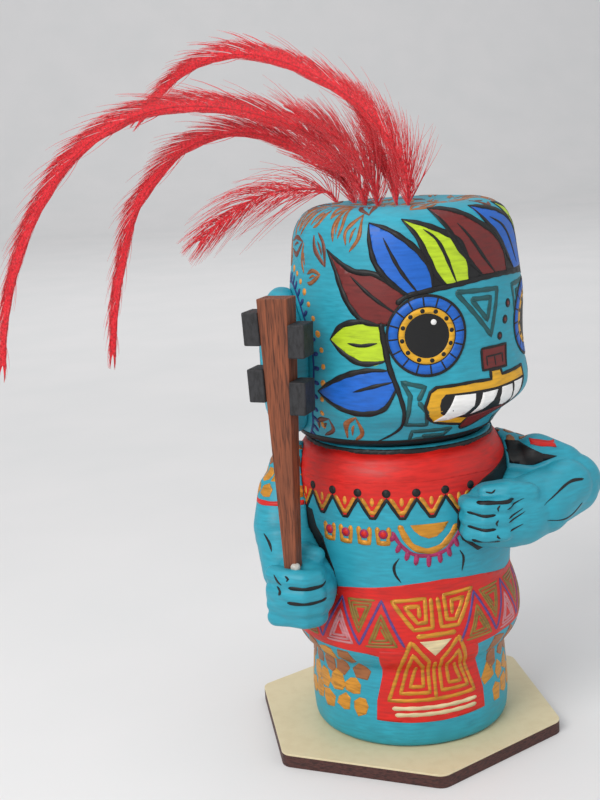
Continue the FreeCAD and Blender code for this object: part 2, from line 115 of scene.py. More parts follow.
class Surface:
    """A procedural material under construction, round one Principled shader."""

    def __init__(self, name: str) -> None:
        """Start an empty material.

        Args:
            name: the material's name.
        """
        self.material = bpy.data.materials.new(name)
        self.material.use_nodes = True
        self.nodes = self.material.node_tree.nodes
        self.links = self.material.node_tree.links
        self.shader = self.nodes["Principled BSDF"]
        self.space = self.nodes.new("ShaderNodeTexCoord").outputs["Object"]

    def stretched(self, scale: Sequence[float], turn: Sequence[float] = (0, 0, 0)) -> bpy.types.NodeSocket:
        """Object coordinates, turned by degrees and scaled per axis.

        Args:
            scale: per axis.
            turn: per axis, in degrees.

        Returns:
            The coordinates.
        """
        mapping = self.nodes.new("ShaderNodeMapping")
        mapping.inputs["Scale"].default_value = scale
        mapping.inputs["Rotation"].default_value = [math.radians(angle) for angle in turn]
        self.links.new(self.space, mapping.inputs["Vector"])
        return mapping.outputs["Vector"]

    def speckle(self, size: float, detail: float = 3.0, stretch: Sequence[float] = (1, 1, 1),
                turn: Sequence[float] = (0, 0, 0)) -> bpy.types.NodeSocket:
        """A noise factor.

        Args:
            size: the size of one blotch in millimetres.
            detail: octaves of finer noise.
            stretch: how much denser the pattern is along each axis.
            turn: the pattern's turn in degrees.

        Returns:
            The factor's socket.
        """
        texture = self.nodes.new("ShaderNodeTexNoise")
        texture.inputs["Scale"].default_value = 1 / (size * MM)
        texture.inputs["Detail"].default_value = detail
        self.links.new(self.stretched(stretch, turn), texture.inputs["Vector"])
        return texture.outputs["Fac"]

    def ramp(self, factor: bpy.types.NodeSocket, stops: Sequence[tuple[float,
                                                                       Colour]]) -> bpy.types.NodeSocket:
        """Colours laid along a factor.

        Args:
            factor: a factor from 0 to 1.
            stops: places from 0 to 1 with their colours.

        Returns:
            The colour.
        """
        ramp = self.nodes.new("ShaderNodeValToRGB")
        elements = ramp.color_ramp.elements
        while len(elements) < len(stops):
            elements.new(0.5)
        for element, (position, colour) in zip(elements, stops):
            element.position = position
            element.color = linear(colour)
        self.links.new(factor, ramp.inputs["Fac"])
        return ramp.outputs["Color"]

    def mix(self, factor: bpy.types.NodeSocket, first: bpy.types.NodeSocket,
            second: bpy.types.NodeSocket) -> bpy.types.NodeSocket:
        """Two colours mixed by a factor.

        Args:
            factor: a factor from 0 to 1.
            first: the colour at 0.
            second: the colour at 1.

        Returns:
            The mixed colour.
        """
        mix = self.nodes.new("ShaderNodeMix")
        mix.data_type = "RGBA"
        self.links.new(factor, mix.inputs["Factor"])
        self.links.new(first, mix.inputs[6])
        self.links.new(second, mix.inputs[7])
        return mix.outputs[2]

    def span(self, factor: bpy.types.NodeSocket, low: float, high: float,
             from_low: float = 0.3, from_high: float = 0.7) -> bpy.types.NodeSocket:
        """The factor brought into a range.

        Args:
            factor: a factor from 0 to 1.
            low: the range's start.
            high: the range's end.
            from_low: the factor that gives the start.
            from_high: the factor that gives the end.

        Returns:
            The value.
        """
        span = self.nodes.new("ShaderNodeMapRange")
        span.inputs["From Min"].default_value = from_low
        span.inputs["From Max"].default_value = from_high
        span.inputs["To Min"].default_value = low
        span.inputs["To Max"].default_value = high
        self.links.new(factor, span.inputs["Value"])
        return span.outputs["Result"]

    def wear(self, height: bpy.types.NodeSocket, depth: float, strength: float = 1.0) -> None:
        """Raise the surface by a factor, as bump of a depth in millimetres on what is there.

        Args:
            height: a factor from 0 to 1.
            depth: in millimetres.
            strength: from 0 to 1.
        """
        bump = self.nodes.new("ShaderNodeBump")
        bump.inputs["Distance"].default_value = depth * MM
        bump.inputs["Strength"].default_value = strength
        self.links.new(height, bump.inputs["Height"])
        normal = self.shader.inputs["Normal"]
        if normal.is_linked:
            self.links.new(normal.links[0].from_socket, bump.inputs["Normal"])
        self.links.new(bump.outputs["Normal"], normal)

    def dress(self, colour: bpy.types.NodeSocket, roughness: bpy.types.NodeSocket,
              **fixed: float) -> bpy.types.Material:
        """Join the colour and roughness to the shader, and set its fixed values.

        Args:
            colour: the colour's socket.
            roughness: the roughness's socket.
            fixed: values of the shader's own sockets, with spaces as underscores.

        Returns:
            The finished material.
        """
        self.links.new(colour, self.shader.inputs["Base Color"])
        self.links.new(roughness, self.shader.inputs["Roughness"])
        for name, value in fixed.items():
            self.shader.inputs[name.replace("_", " ")].default_value = value
        return self.material


@dataclass(frozen=True)
class Finish:
    """Something that pieces are made of or painted with; its material is built once."""
    name: str
    kind: ClassVar[str] = "finish"

    def material(self) -> bpy.types.Material:
        """The finish's material, built at its first use."""
        name = f"{self.kind}_{self.name}"
        return bpy.data.materials.get(name) or self.mixed(Surface(name))

    def mixed(self, surface: Surface) -> bpy.types.Material:
        """Build the material on an empty surface."""
        raise NotImplementedError


@dataclass(frozen=True)
class Paint(Finish):
    """Brushed acrylic paint: thin and thick strokes, a little grain and a satin face."""
    colour: Colour
    depth: float = 0.80            # the darkest stroke as a share of the colour
    roughness: float = 0.46
    stroke: Sequence[float] = (0.16, 0.16, 1.0)   # the strokes' direction, short along the dense axis
    metal: float = 0.0
    slot: str = "acrylic_paint"
    kind: ClassVar[str] = "paint"

    def mixed(self, surface: Surface) -> bpy.types.Material:
        """Mix the paint.

        Args:
            surface: a new, empty one.

        Returns:
            The material.
        """
        strokes = surface.speckle(0.55, 4, self.stroke)
        pools = surface.speckle(6.0, 2)
        thin = surface.ramp(strokes, [(0.30, shade(self.colour, self.depth)), (0.52, self.colour),
                                      (0.75, shade(self.colour, 1.10))])
        thick = surface.ramp(strokes, [(0.30, shade(self.colour, 0.5 + 0.5 * self.depth)),
                                       (0.70, self.colour)])
        colour = surface.mix(surface.span(pools, 0, 1), thin, thick)
        roughness = surface.span(strokes, self.roughness - 0.06, self.roughness + 0.10)
        surface.wear(surface.speckle(0.35, 3, self.stroke), 0.012)
        surface.wear(surface.speckle(1.6, 2), 0.03)
        return surface.dress(colour, roughness, Metallic=self.metal, Specular_IOR_Level=0.45)


@dataclass(frozen=True)
class Timber(Finish):
    """Planed wood with long grain along one axis."""
    light: Colour
    dark: Colour
    slot: str
    grain: Sequence[float] = (1.0, 1.0, 0.06)
    turn: Sequence[float] = (0.0, 0.0, 0.0)
    roughness: float = 0.55

    def mixed(self, surface: Surface) -> bpy.types.Material:
        """Lay the grain and the pores.

        Args:
            surface: a new, empty one.

        Returns:
            The material.
        """
        bands = surface.speckle(1.1, 3, self.grain, self.turn)
        pores = surface.speckle(0.28, 4, self.grain, self.turn)
        broad = surface.ramp(bands, [(0.32, self.dark), (0.5, self.light), (0.66, shade(self.light, 1.18))])
        fine = surface.ramp(pores, [(0.36, shade(self.dark, 0.75)), (0.55, self.light)])
        colour = surface.mix(surface.span(pores, 0.15, 0.75), fine, broad)
        surface.wear(pores, 0.020)
        surface.wear(surface.speckle(2.5, 2), 0.03)
        return surface.dress(colour, surface.span(pores, self.roughness + 0.12, self.roughness - 0.06),
                             Specular_IOR_Level=0.4)


@dataclass(frozen=True)
class Mottle(Finish):
    """A plain stuff with blotches, for laminate, burnt board edge, matt black paint, steel and glue."""
    colour: Colour
    other: Colour
    slot: str
    size: float = 1.2
    stretch: Sequence[float] = (1.0, 1.0, 1.0)
    roughness: float = 0.5
    relief: float = 0.02
    metal: float = 0.0

    def mixed(self, surface: Surface) -> bpy.types.Material:
        """Lay the blotches.

        Args:
            surface: a new, empty one.

        Returns:
            The material.
        """
        blotch = surface.speckle(self.size, 4, self.stretch)
        fine = surface.speckle(self.size / 6, 3, self.stretch)
        colour = surface.ramp(blotch, [(0.34, self.other), (0.58, self.colour)])
        surface.wear(fine, self.relief)
        return surface.dress(colour, surface.span(fine, self.roughness - 0.07, self.roughness + 0.1),
                             Metallic=self.metal)


@dataclass(frozen=True)
class Plumage(Finish):
    """Dyed feather: bright strands with paler and deeper ones among them."""
    colour: Colour
    pale: Colour
    deep: Colour
    slot: str = "red_feather"

    def mixed(self, surface: Surface) -> bpy.types.Material:
        """Lay the strands.

        Args:
            surface: a new, empty one.

        Returns:
            The material.
        """
        strands = surface.speckle(0.5, 3)
        drift = surface.speckle(9.0, 2)
        bright = surface.ramp(strands, [(0.3, self.deep), (0.5, self.colour), (0.72, self.pale)])
        dense = surface.ramp(strands, [(0.3, self.deep), (0.6, self.colour)])
        colour = surface.mix(surface.span(drift, 0, 1), bright, dense)
        surface.wear(strands, 0.02)
        return surface.dress(colour, surface.span(strands, 0.42, 0.62), Sheen_Weight=0.35,
                             Subsurface_Weight=0.12, Subsurface_Scale=0.0008, Specular_IOR_Level=0.35)


TURQUOISE = Paint("turquoise", (40, 156, 178), depth=0.90)
BLACK = Paint("black", (13, 13, 15), depth=0.7, roughness=0.52)
RED = Paint("red", (212, 28, 20), depth=0.86)
MAROON = Paint("maroon", (112, 30, 28), depth=0.82)
BLUE = Paint("royal_blue", (18, 98, 196), depth=0.86)
LIME = Paint("lime", (184, 214, 34), depth=0.84)
YELLOW = Paint("yellow", (226, 168, 30), depth=0.84)
WHITE = Paint("white", (246, 245, 243), depth=0.93)
DEEP_TEAL = Paint("deep_teal", (24, 84, 88), depth=0.8)
NAVY = Paint("navy", (26, 50, 120), depth=0.8)
GOLD = Paint("gold", (214, 146, 44), depth=0.72, roughness=0.4, metal=0.25)
BRONZE = Paint("bronze", (166, 104, 62), depth=0.7, roughness=0.42, metal=0.3)
COPPER = Paint("copper", (120, 70, 55), depth=0.7, roughness=0.42, metal=0.3)
ORANGE = Paint("orange", (232, 152, 52), depth=0.8)
MAGENTA = Paint("magenta", (162, 38, 92), depth=0.8)
PURPLE = Paint("purple", (92, 66, 134), depth=0.8)
PINK = Paint("pink", (206, 132, 138), depth=0.82)
OLIVE = Paint("olive", (142, 112, 44), depth=0.8)
CREAM = Paint("cream", (222, 204, 160), depth=0.86)
SLATE = Paint("slate", (88, 138, 142), depth=0.84)

CLUB_WOOD = Timber("club_wood", (128, 70, 44), (84, 43, 28), "club_wood")
BARE_WOOD = Timber("bare_wood", (190, 150, 104), (140, 100, 64), "bare_wood")
LAMINATE = Mottle("cream_laminate", (224, 210, 172), (220, 205, 166), "cream_laminate", size=2.2,
                  relief=0.006,
                  roughness=0.42)
BOARD_EDGE = Mottle("board_edge", (84, 46, 40), (44, 22, 20), "board_edge", size=1.0, stretch=(1, 1, 4.0),
                    roughness=0.6, relief=0.05)
TOOTH_BLACK = Mottle("black_tooth", (44, 44, 47), (24, 24, 26), "black_tooth", size=0.7,
                     stretch=(1, 1, 0.4),
                     roughness=0.62, relief=0.05)
STEEL = Mottle("screw_steel", (176, 178, 182), (120, 122, 128), "screw_steel", metal=1.0, roughness=0.34)
GLUE = Mottle("glue", (196, 194, 186), (166, 164, 156), "glue", roughness=0.25)
FEATHER_RED = Plumage("red_feather", (238, 20, 40), (248, 72, 82), (176, 8, 24))
QUILL_RED = Plumage("quill_red", (196, 20, 34), (222, 48, 56), (130, 8, 18))


# ---------------------------------------------------------------- mesh helpers
def link_piece(mesh: bmesh.types.BMesh, name: str, body: str,
               finish: Finish) -> bpy.types.Object:
    """Turn a mesh worked in millimetres into a dressed object that rides on a body.

    Args:
        mesh: the bmesh, which is used up.
        name: the piece's name.
        body: the body that it rides on.
        finish: what it is made of or painted with.

    Returns:
        The object, in metres.
    """
    bmesh.ops.scale(mesh, vec=(MM, MM, MM), verts=mesh.verts)
    data = bpy.data.meshes.new(name)
    mesh.to_mesh(data)
    mesh.free()
    data.shade_smooth()
    data.materials.append(finish.material())
    piece = bpy.data.objects.new(name, data)
    bpy.context.scene.collection.objects.link(piece)
    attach(piece, body)
    log.info("%s: %d faces", name, len(data.polygons))
    return piece


def cad_copy(*nodes: str) -> bmesh.types.BMesh:
    """A merged copy of CAD nodes' meshes, in millimetres.

    Args:
        nodes: their names.

    Returns:
        The mesh, which the caller frees.
    """
    mesh = bmesh.new()
    for node in nodes:
        mesh.from_mesh(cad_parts[node].data)
    bmesh.ops.remove_doubles(mesh, verts=mesh.verts, dist=2e-6)
    bmesh.ops.scale(mesh, vec=(1 / MM, 1 / MM, 1 / MM), verts=mesh.verts)
    return mesh


def soften(mesh: bmesh.types.BMesh, voxel: float, rounds: int, carved: float) -> bmesh.types.BMesh:
    """Grow overlapping closed shells into one smooth skin, as sanded wood or clay under paint.

    Args:
        mesh: closed shells in millimetres, used up.
        voxel: the size of the new faces.
        rounds: how often the skin is smoothed.
        carved: how far the hand-worked surface strays in or out.

    Returns:
        The skin.
    """
    data = bpy.data.meshes.new("rough")
    mesh.to_mesh(data)
    mesh.free()
    rough = bpy.data.objects.new("rough", data)
    bpy.context.scene.collection.objects.link(rough)
    remesh = rough.modifiers.new("skin", "REMESH")
    remesh.mode = "VOXEL"
    remesh.voxel_size = voxel
    grown = bpy.data.meshes.new_from_object(rough.evaluated_get(bpy.context.evaluated_depsgraph_get()))
    skin = bmesh.new()
    skin.from_mesh(grown)
    bpy.data.objects.remove(rough)
    bpy.data.meshes.remove(data)
    bpy.data.meshes.remove(grown)
    for _ in range(rounds):
        bmesh.ops.smooth_vert(skin, verts=skin.verts, factor=0.5, use_axis_x=True, use_axis_y=True,
                              use_axis_z=True)
    skin.normal_update()
    for vert in skin.verts:
        stray = noise.noise(vert.co / WAVE) + 0.35 * noise.noise(vert.co / RIPPLE)
        vert.co += vert.normal * stray * carved
    skin.normal_update()
    return skin


def limb(mesh: bmesh.types.BMesh, start: Vector, start_r: float, end: Vector, end_r: float) -> None:
    """Add a tapered limb with round ends to a mesh of overlapping shells.

    Args:
        mesh: where it goes.
        start: the first end.
        start_r: the radius there.
        end: the other end.
        end_r: the radius there.
    """
    along = end - start
    turn = Vector((0, 0, 1)).rotation_difference(along).to_matrix().to_4x4()
    for middle, radius in ((start, start_r), (end, end_r)):
        bmesh.ops.create_uvsphere(mesh, u_segments=24, v_segments=14, radius=radius,
                                  matrix=Matrix.Translation(middle) @ turn)
    bmesh.ops.create_cone(mesh, cap_ends=True, segments=24, radius1=start_r, radius2=end_r,
                          depth=along.length,
                          matrix=Matrix.Translation((start + end) / 2) @ turn)


def chain(mesh: bmesh.types.BMesh, points: Sequence[Vector], radii: Sequence[float]) -> None:
    """Add a bent limb, such as a finger, through several points."""
    for k in range(len(points) - 1):
        limb(mesh, points[k], radii[k], points[k + 1], radii[k + 1])


def sharp_block(node: str, edge: float, body: str, finish: Finish) -> bpy.types.Object:
    """A flat-faced CAD piece with its edges eased by hand.

    Args:
        node: the CAD node that it stands for.
        edge: the width of the eased edge in millimetres.
        body: the body that it rides on.
        finish: its finish.

    Returns:
        The piece.
    """
    mesh = cad_copy(node)
    bmesh.ops.dissolve_limit(mesh, angle_limit=math.radians(1.0), verts=mesh.verts, edges=mesh.edges)
    sharp = [e for e in mesh.edges if e.is_manifold and e.calc_face_angle(0) > math.radians(25)]
    bmesh.ops.bevel(mesh, geom=sharp, offset=edge, offset_type="OFFSET", segments=3, profile=0.5,
                    affect="EDGES", clamp_overlap=True, material=-1)
    bmesh.ops.triangulate(mesh, faces=[f for f in mesh.faces if len(f.verts) > 4])
    piece = link_piece(mesh, node + "_eased", body, finish)
    piece.data.polygons.foreach_set("use_smooth", [False] * len(piece.data.polygons))
    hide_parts(node)
    return piece


# ---------------------------------------------------------------- charts and brushes
@dataclass(frozen=True)
class RoundChart:
    """A flat sheet wrapped round an upright form: degrees across, millimetres up."""
    middle: Vector
    zero: float
    base: float
    radius: float

    def flat(self, point: Point) -> Vector:
        """A chart point on the flat sheet."""
        return Vector((math.radians(point[0]) * self.radius, point[1], 0))

    def ray(self, spot: Vector) -> tuple[Vector, Vector]:
        """Where a ray through a spot on the sheet starts, and which way it goes."""
        out = polar(1, self.zero + math.degrees(spot.x / self.radius))
        return Vector((self.middle.x, self.middle.y, self.base + spot.y)) + out * FAR_OUT, -out


@dataclass(frozen=True)
class FlatChart:
    """A flat sheet held before a form: millimetres across and up."""
    origin: Vector
    across: Vector
    up: Vector

    def flat(self, point: Point) -> Vector:
        """A chart point on the flat sheet."""
        return Vector((point[0], point[1], 0))

    def ray(self, spot: Vector) -> tuple[Vector, Vector]:
        """Where a ray through a spot on the sheet starts, and which way it goes."""
        return self.origin + self.across * spot.x + self.up * spot.y, -self.across.cross(self.up)


class Touch(Enum):
    """How a brush stroke begins and ends."""
    ROUND = "round"
    POINTED = "pointed"
    FADING = "fading"


def curve(points: Sequence[Vector], step: float = 0.7, closed: bool = False) -> list[Vector]:
    """A smooth line through points, sampled evenly.

    Args:
        points: what the line passes through.
        step: the distance between samples.
        closed: whether it comes back to its start.

    Returns:
        The samples; a closed line doesn't repeat its first.
    """
    count = len(points)
    line: list[Vector] = []
    for k in range(count if closed else count - 1):
        if closed:
            a, b, c, d = (points[(k + shift) % count] for shift in (-1, 0, 1, 2))
        else:
            b, c = points[k], points[k + 1]
            a = points[k - 1] if k else b * 2 - c
            d = points[k + 2] if k + 2 < count else c * 2 - b
        pieces = max(1, round((c - b).length / step))
        for piece in range(pieces):
            t = piece / pieces
            line.append(0.5 * (2 * b + (c - a) * t + (2 * a - 5 * b + 4 * c - d) * t * t
                               + (3 * b - a - 3 * c + d) * t ** 3))
    if not closed:
        line.append(points[-1].copy())
    return line


def straight(points: Sequence[Vector], step: float = 0.7) -> list[Vector]:
    """A line of straight runs through points, sampled evenly.

    Args:
        points: the corners.
        step: how far apart the samples are at most, about.

    Returns:
        The samples with both ends.
    """
    line: list[Vector] = []
    for start, end in zip(points, points[1:]):
        pieces = max(1, round((end - start).length / step))
        line += [start.lerp(end, piece / pieces) for piece in range(pieces)]
    return line + [points[-1].copy()]


class Painter:
    """Lays painted shapes on a skin as thin films of paint, one piece for each colour."""
    LIFT = 0.045
    LAYER = 0.028
    FILM = 0.16

    def __init__(self, name: str, chart: RoundChart | FlatChart, skin: BVHTree, body: str,
                 grid: float = 1.1) -> None:
        """Take up the brushes.

        Args:
            name: what is painted, used in the pieces' names.
            chart: where shapes land.
            skin: the surface they land on.
            body: the body that it rides on.
            grid: how finely a broad shape is cut to follow the skin.
        """
        self.name, self.chart, self.skin, self.body, self.grid = name, chart, skin, body, grid
        self.films: dict[Paint, bmesh.types.BMesh] = {}

    def _press(self, shape: bmesh.types.BMesh, paint: Paint, layer: int) -> None:
        """Lay a flat shape on the skin and keep it with its colour.

        Args:
            shape: the shape, which is used up.
            paint: its colour.
            layer: how many films lie under it.
        """
        lift = self.LIFT + self.LAYER * layer
        missed = []
        for vert in shape.verts:
            start, way = self.chart.ray(vert.co)
            spot, normal, _, _ = self.skin.ray_cast(start, way, REACH)
            if spot is None:
                missed.append(vert)
                continue
            vert.co = spot + normal * lift
        bmesh.ops.delete(shape, geom=missed, context="VERTS")
        data = bpy.data.meshes.new("film")
        shape.to_mesh(data)
        shape.free()
        self.films.setdefault(paint, bmesh.new()).from_mesh(data)
        bpy.data.meshes.remove(data)

    def _cut(self, shape: bmesh.types.BMesh) -> None:
        """Cut a flat shape along a square grid, so that it can follow the skin.

        Args:
            shape: the shape.
        """
        bmesh.ops.triangulate(shape, faces=shape.faces)
        for axis in (0, 1):
            values = [v.co[axis] for v in shape.verts]
            normal = Vector((1, 0, 0)) if axis == 0 else Vector((0, 1, 0))
            for k in range(math.ceil(min(values) / self.grid), math.ceil(max(values) / self.grid)):
                bmesh.ops.bisect_plane(shape, geom=shape.verts[:] + shape.edges[:] + shape.faces[:],
                                       dist=1e-5, plane_co=normal * (k * self.grid), plane_no=normal)

    def fill(self, paint: Paint, outline: Sequence[Point], layer: int = 0, smooth: bool = False) -> None:
        """Fill an outline, given anticlockwise or clockwise.

        Args:
            paint: the colour.
            outline: chart points.
            layer: how many films lie below.
            smooth: whether the outline is a closed curve instead of straight runs.
        """
        self.fill_flat(paint, [self.chart.flat(p) for p in outline], layer, smooth)

    def fill_flat(self, paint: Paint, spots: Sequence[Vector], layer: int, smooth: bool = False) -> None:
        """Fill an outline that is already on the flat sheet.

        Args:
            paint: its colour.
            spots: its corners.
            layer: how many films lie under it.
            smooth: whether the corners are rounded off.
        """
        line = curve(spots, closed=True) if smooth else spots
        shape = bmesh.new()
        face = shape.faces.new([shape.verts.new(spot) for spot in line])
        face.normal_update()
        if face.normal.z < 0:
            face.normal_flip()
        self._cut(shape)
        self._press(shape, paint, layer)

    def stroke(self, paint: Paint, points: Sequence[Point], width: float, layer: int = 1,
               touch: Touch = Touch.ROUND, bent: bool = True) -> None:
        """Draw one brush stroke through chart points."""
        self.stroke_flat(paint, [self.chart.flat(p) for p in points], width, layer, touch, bent)

    def stroke_flat(self, paint: Paint, spots: Sequence[Vector], width: float, layer: int = 1,
                    touch: Touch = Touch.ROUND, bent: bool = True) -> None:
        """Draw one brush stroke through spots on the flat sheet.

        Args:
            paint: the colour.
            spots: the stroke's middle line.
            width: its width in millimetres.
            layer: how many films lie below.
            touch: how it begins and ends.
            bent: whether it runs in a curve or in straight runs.
        """
        line = curve(spots, 0.45) if bent else straight(spots, 0.45)
        count = len(line) - 1
        length = sum((b - a).length for a, b in zip(line, line[1:]))
        shape = bmesh.new()
        bmesh.ops.create_grid(shape, x_segments=count, y_segments=1, size=1.0)
        for vert in shape.verts:
            index = round((vert.co.x + 1) / 2 * count)
            side = 1 if vert.co.y > 0 else -1
            tangent = (line[min(index + 1, count)] - line[max(index - 1, 0)]).normalized()
            half = self._half_width(index / count, width, length, touch)
            vert.co = line[index] + Vector((-tangent.y, tangent.x, 0)) * side * half
        self._press(shape, paint, layer)

    def _half_width(self, share: float, width: float, length: float, touch: Touch) -> float:
        """Half the stroke's width at a share of its length.

        Args:
            share: from 0 at the start to 1 at the end.
            width: the whole stroke's.
            length: the whole stroke's.
            touch: how the ends look.

        Returns:
            The half width, in millimetres.
        """
        wobble = 1 + 0.10 * math.sin(share * length * 1.9 + width * 7)
        if touch is Touch.POINTED:
            return width / 2 * wobble * max(0.12, math.sin(math.pi * min(1, max(0, share))) ** 0.6)
        end = min(share, 1 - share) * length / (width / 2)
        cap = math.sqrt(max(0.0, 1 - (1 - min(1.0, end)) ** 2))
        if touch is Touch.FADING:
            return width / 2 * wobble * max(0.1, min(cap if share < 0.5 else 1.0,
                                                     (1 - share) ** 0.7 * 1.25))
        return width / 2 * wobble * max(0.35, cap)

    def disc(self, paint: Paint, centre: Point, radius: float, layer: int = 1, aspect: float = 1.0,
             shift: Point = (0.0, 0.0)) -> None:
        """Dab a round spot: aspect is its height over its width, and shift is in millimetres.

        Args:
            paint: its colour.
            centre: on the chart.
            radius: in millimetres.
            layer: how many films lie under it.
            aspect: its height over its width.
            shift: how far it is moved on the flat sheet.
        """
        shape = bmesh.new()
        spot = self.chart.flat(centre) + Vector((*shift, 0))
        bmesh.ops.create_circle(shape, cap_ends=True, segments=20 if radius < 2 else 48, radius=radius,
                                matrix=Matrix.Translation(spot) @ Matrix.Diagonal((1, aspect, 1, 1)))
        if radius > 1.2:
            self._cut(shape)
        else:
            bmesh.ops.poke(shape, faces=shape.faces)
        self._press(shape, paint, layer)

    def ring(self, paint: Paint, centre: Point, inner: float, outer: float, layer: int = 1) -> None:
        """Draw a ring between two radii.

        Args:
            paint: its colour.
            centre: on the chart.
            inner: the inner radius.
            outer: the outer radius.
            layer: how many films lie under it.
        """
        shape = bmesh.new()
        at = Matrix.Translation(self.chart.flat(centre))
        edges = []
        for radius in (inner, (inner + outer) / 2, outer):
            made = bmesh.ops.create_circle(shape, cap_ends=False, segments=72, radius=radius, matrix=at)
            edges.append({e for v in made["verts"] for e in v.link_edges})
        for near, far in zip(edges, edges[1:]):
            bmesh.ops.bridge_loops(shape, edges=list(near | far))
        bmesh.ops.recalc_face_normals(shape, faces=shape.faces)
        if sum(f.normal.z for f in shape.faces) < 0:
            bmesh.ops.reverse_faces(shape, faces=shape.faces)
        self._press(shape, paint, layer)

    def finish(self) -> None:
        """Make one piece of each colour's films."""
        for paint, film in self.films.items():
            piece = link_piece(film, f"{self.name}_paint_{paint.name}", self.body, paint)
            thick = piece.modifiers.new("film", "SOLIDIFY")
            thick.thickness = self.FILM * MM
            thick.offset = -1.0


# ---------------------------------------------------------------- skins
@dataclass
class Skin:
    """A carved piece under one coat of turquoise."""
    name: str
    nodes: tuple[str, ...]
    body: str
    voxel: float = 0.55
    rounds: int = 4
    carved: float = 0.07
    tree: BVHTree = field(init=False)

    def build(self, mesh: bmesh.types.BMesh | None = None) -> None:
        """Make the skin from the CAD nodes, or from a mesh of overlapping shells.

        Args:
            mesh: the shells, where the CAD shape isn't detailed enough.
        """
        skin = soften(mesh or cad_copy(*self.nodes), self.voxel, self.rounds, self.carved)
        self.tree = BVHTree.FromBMesh(skin)
        piece = link_piece(skin, self.name, self.body, TURQUOISE)
        for node in self.nodes:
            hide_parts(node)


# ---------------------------------------------------------------- face
@dataclass(frozen=True)
class Plume:
    """A painted feather: the two edges from its tip to its root, and its vein."""
    paint: Paint
    tip: Point
    upper: tuple[Point, ...]
    lower: tuple[Point, ...]
    vein: tuple[Point, ...]

    def mirrored(self, middle: float) -> "Plume":
        """The same plume on the face's other side.

        Args:
            middle: the mask's middle line, in degrees.

        Returns:
            The other plume.
        """
        def turn(point: Point) -> Point:
            """A point mirrored about the middle."""
            return 2 * middle - point[0], point[1]
        return Plume(self.paint, turn(self.tip), tuple(map(turn, self.upper)), tuple(map(turn, self.lower)),
                     tuple(map(turn, self.vein)))


SIDE_PLUMES = (
    Plume(MAROON, (-92, 40), ((-85.5, 38), (-77.5, 36), (-67.5, 35.5), (-60.5, 34), (-52, 31)),
          ((-87, 36.5), (-81, 31), (-76, 28), (-70.5, 26), (-60.5, 25.5)),
          ((-78, 35), (-67, 31), (-55.5, 27.5))),
    Plume(LIME, (-90.5, 22.5), ((-84.5, 25), (-78, 26), (-70.5, 26.2), (-63.5, 25.5)),
          ((-88, 21), (-81.5, 19.5), (-74, 18), (-67, 17.6), (-62, 18.8)),
          ((-80.5, 21.9), (-73.5, 21.5), (-65.5, 22))),
    Plume(BLUE, (-100.5, 11.7), ((-89.5, 14.2), (-79.5, 15.9), (-69.5, 16.7), (-60.2, 16.6)),
          ((-91.5, 9.6), (-83.5, 8.4), (-75.8, 7.9), (-68, 8.3), (-62, 9.7), (-57.5, 13)),
          ((-78.5, 12.3), (-67.5, 13.6), (-59, 14.4))),
)
CROWN_PLUMES = (
    Plume(BLUE, (-69, 44.8), ((-57.8, 43.3), (-48.5, 40.7), (-43, 38.3), (-39.3, 35.5), (-39, 32)),
          ((-67.5, 40.2), (-65, 37), (-60.7, 34.7), (-54, 32), (-49, 30.8)),
          ((-61.2, 42), (-53.8, 36), (-45.5, 31.2))),
    Plume(LIME, (-52, 45.2), ((-43.5, 44.4), (-35, 43), (-25.5, 41.3), (-22, 39), (-19.5, 35.8),
                              (-20.5, 33)),
          ((-46.3, 42.8), (-42.5, 40), (-37.7, 35.3), (-31.8, 32.4)),
          ((-41.4, 43.2), (-35.5, 41.2), (-31.5, 38), (-27, 32.7))),
    Plume(MAROON, (-36.5, 46.8), ((-22, 46.2), (-13, 44.4), (-4.3, 42.2), (2.8, 39.8), (7.3, 36.2),
                                  (6.8, 33.5)),
          ((-31, 44.7), (-27.4, 41.3), (-20.7, 37.4), (-12.2, 33.7)),
          ((-23, 43.8), (-16.5, 40.6), (-10, 36.9), (-3, 33.5))),
    Plume(BLUE, (-9, 46.6), ((8.8, 45.6), (20, 43.8), (27, 41.6), (32.5, 38), (33, 33.5)),
          ((-7, 44.7), (0, 42), (9.7, 36.6), (15.5, 33.6)),
          ((0.6, 44.2), (9.6, 42.3), (15.5, 39.3), (22, 34.5))),
    Plume(LIME, (18, 46.6), ((33, 45.4), (42, 43.4), (51, 40), (54, 36.5), (53, 32)),
          ((21, 44.4), (29, 40.5), (34, 36.4), (37.5, 32.6)),
          ((26, 43.8), (35, 41.5), (41, 38), (45, 32.6))),
)


# Where the head is bare, by the degrees from the mask's middle line: (up to, above, below).
BARE_ZONES = ((52, 99.0, 0.0), (58, 45.5, 0.0), (76, 42.5, 6.0),
              (90, 40.5, 7.0), (103, 33.0, 8.0), (150, 36.5, 0.0))
LEAF_GAP = 4.3                 # leaf marks' middles keep this far apart
COPPER_SHARE = 0.3             # of them are copper, the rest bronze


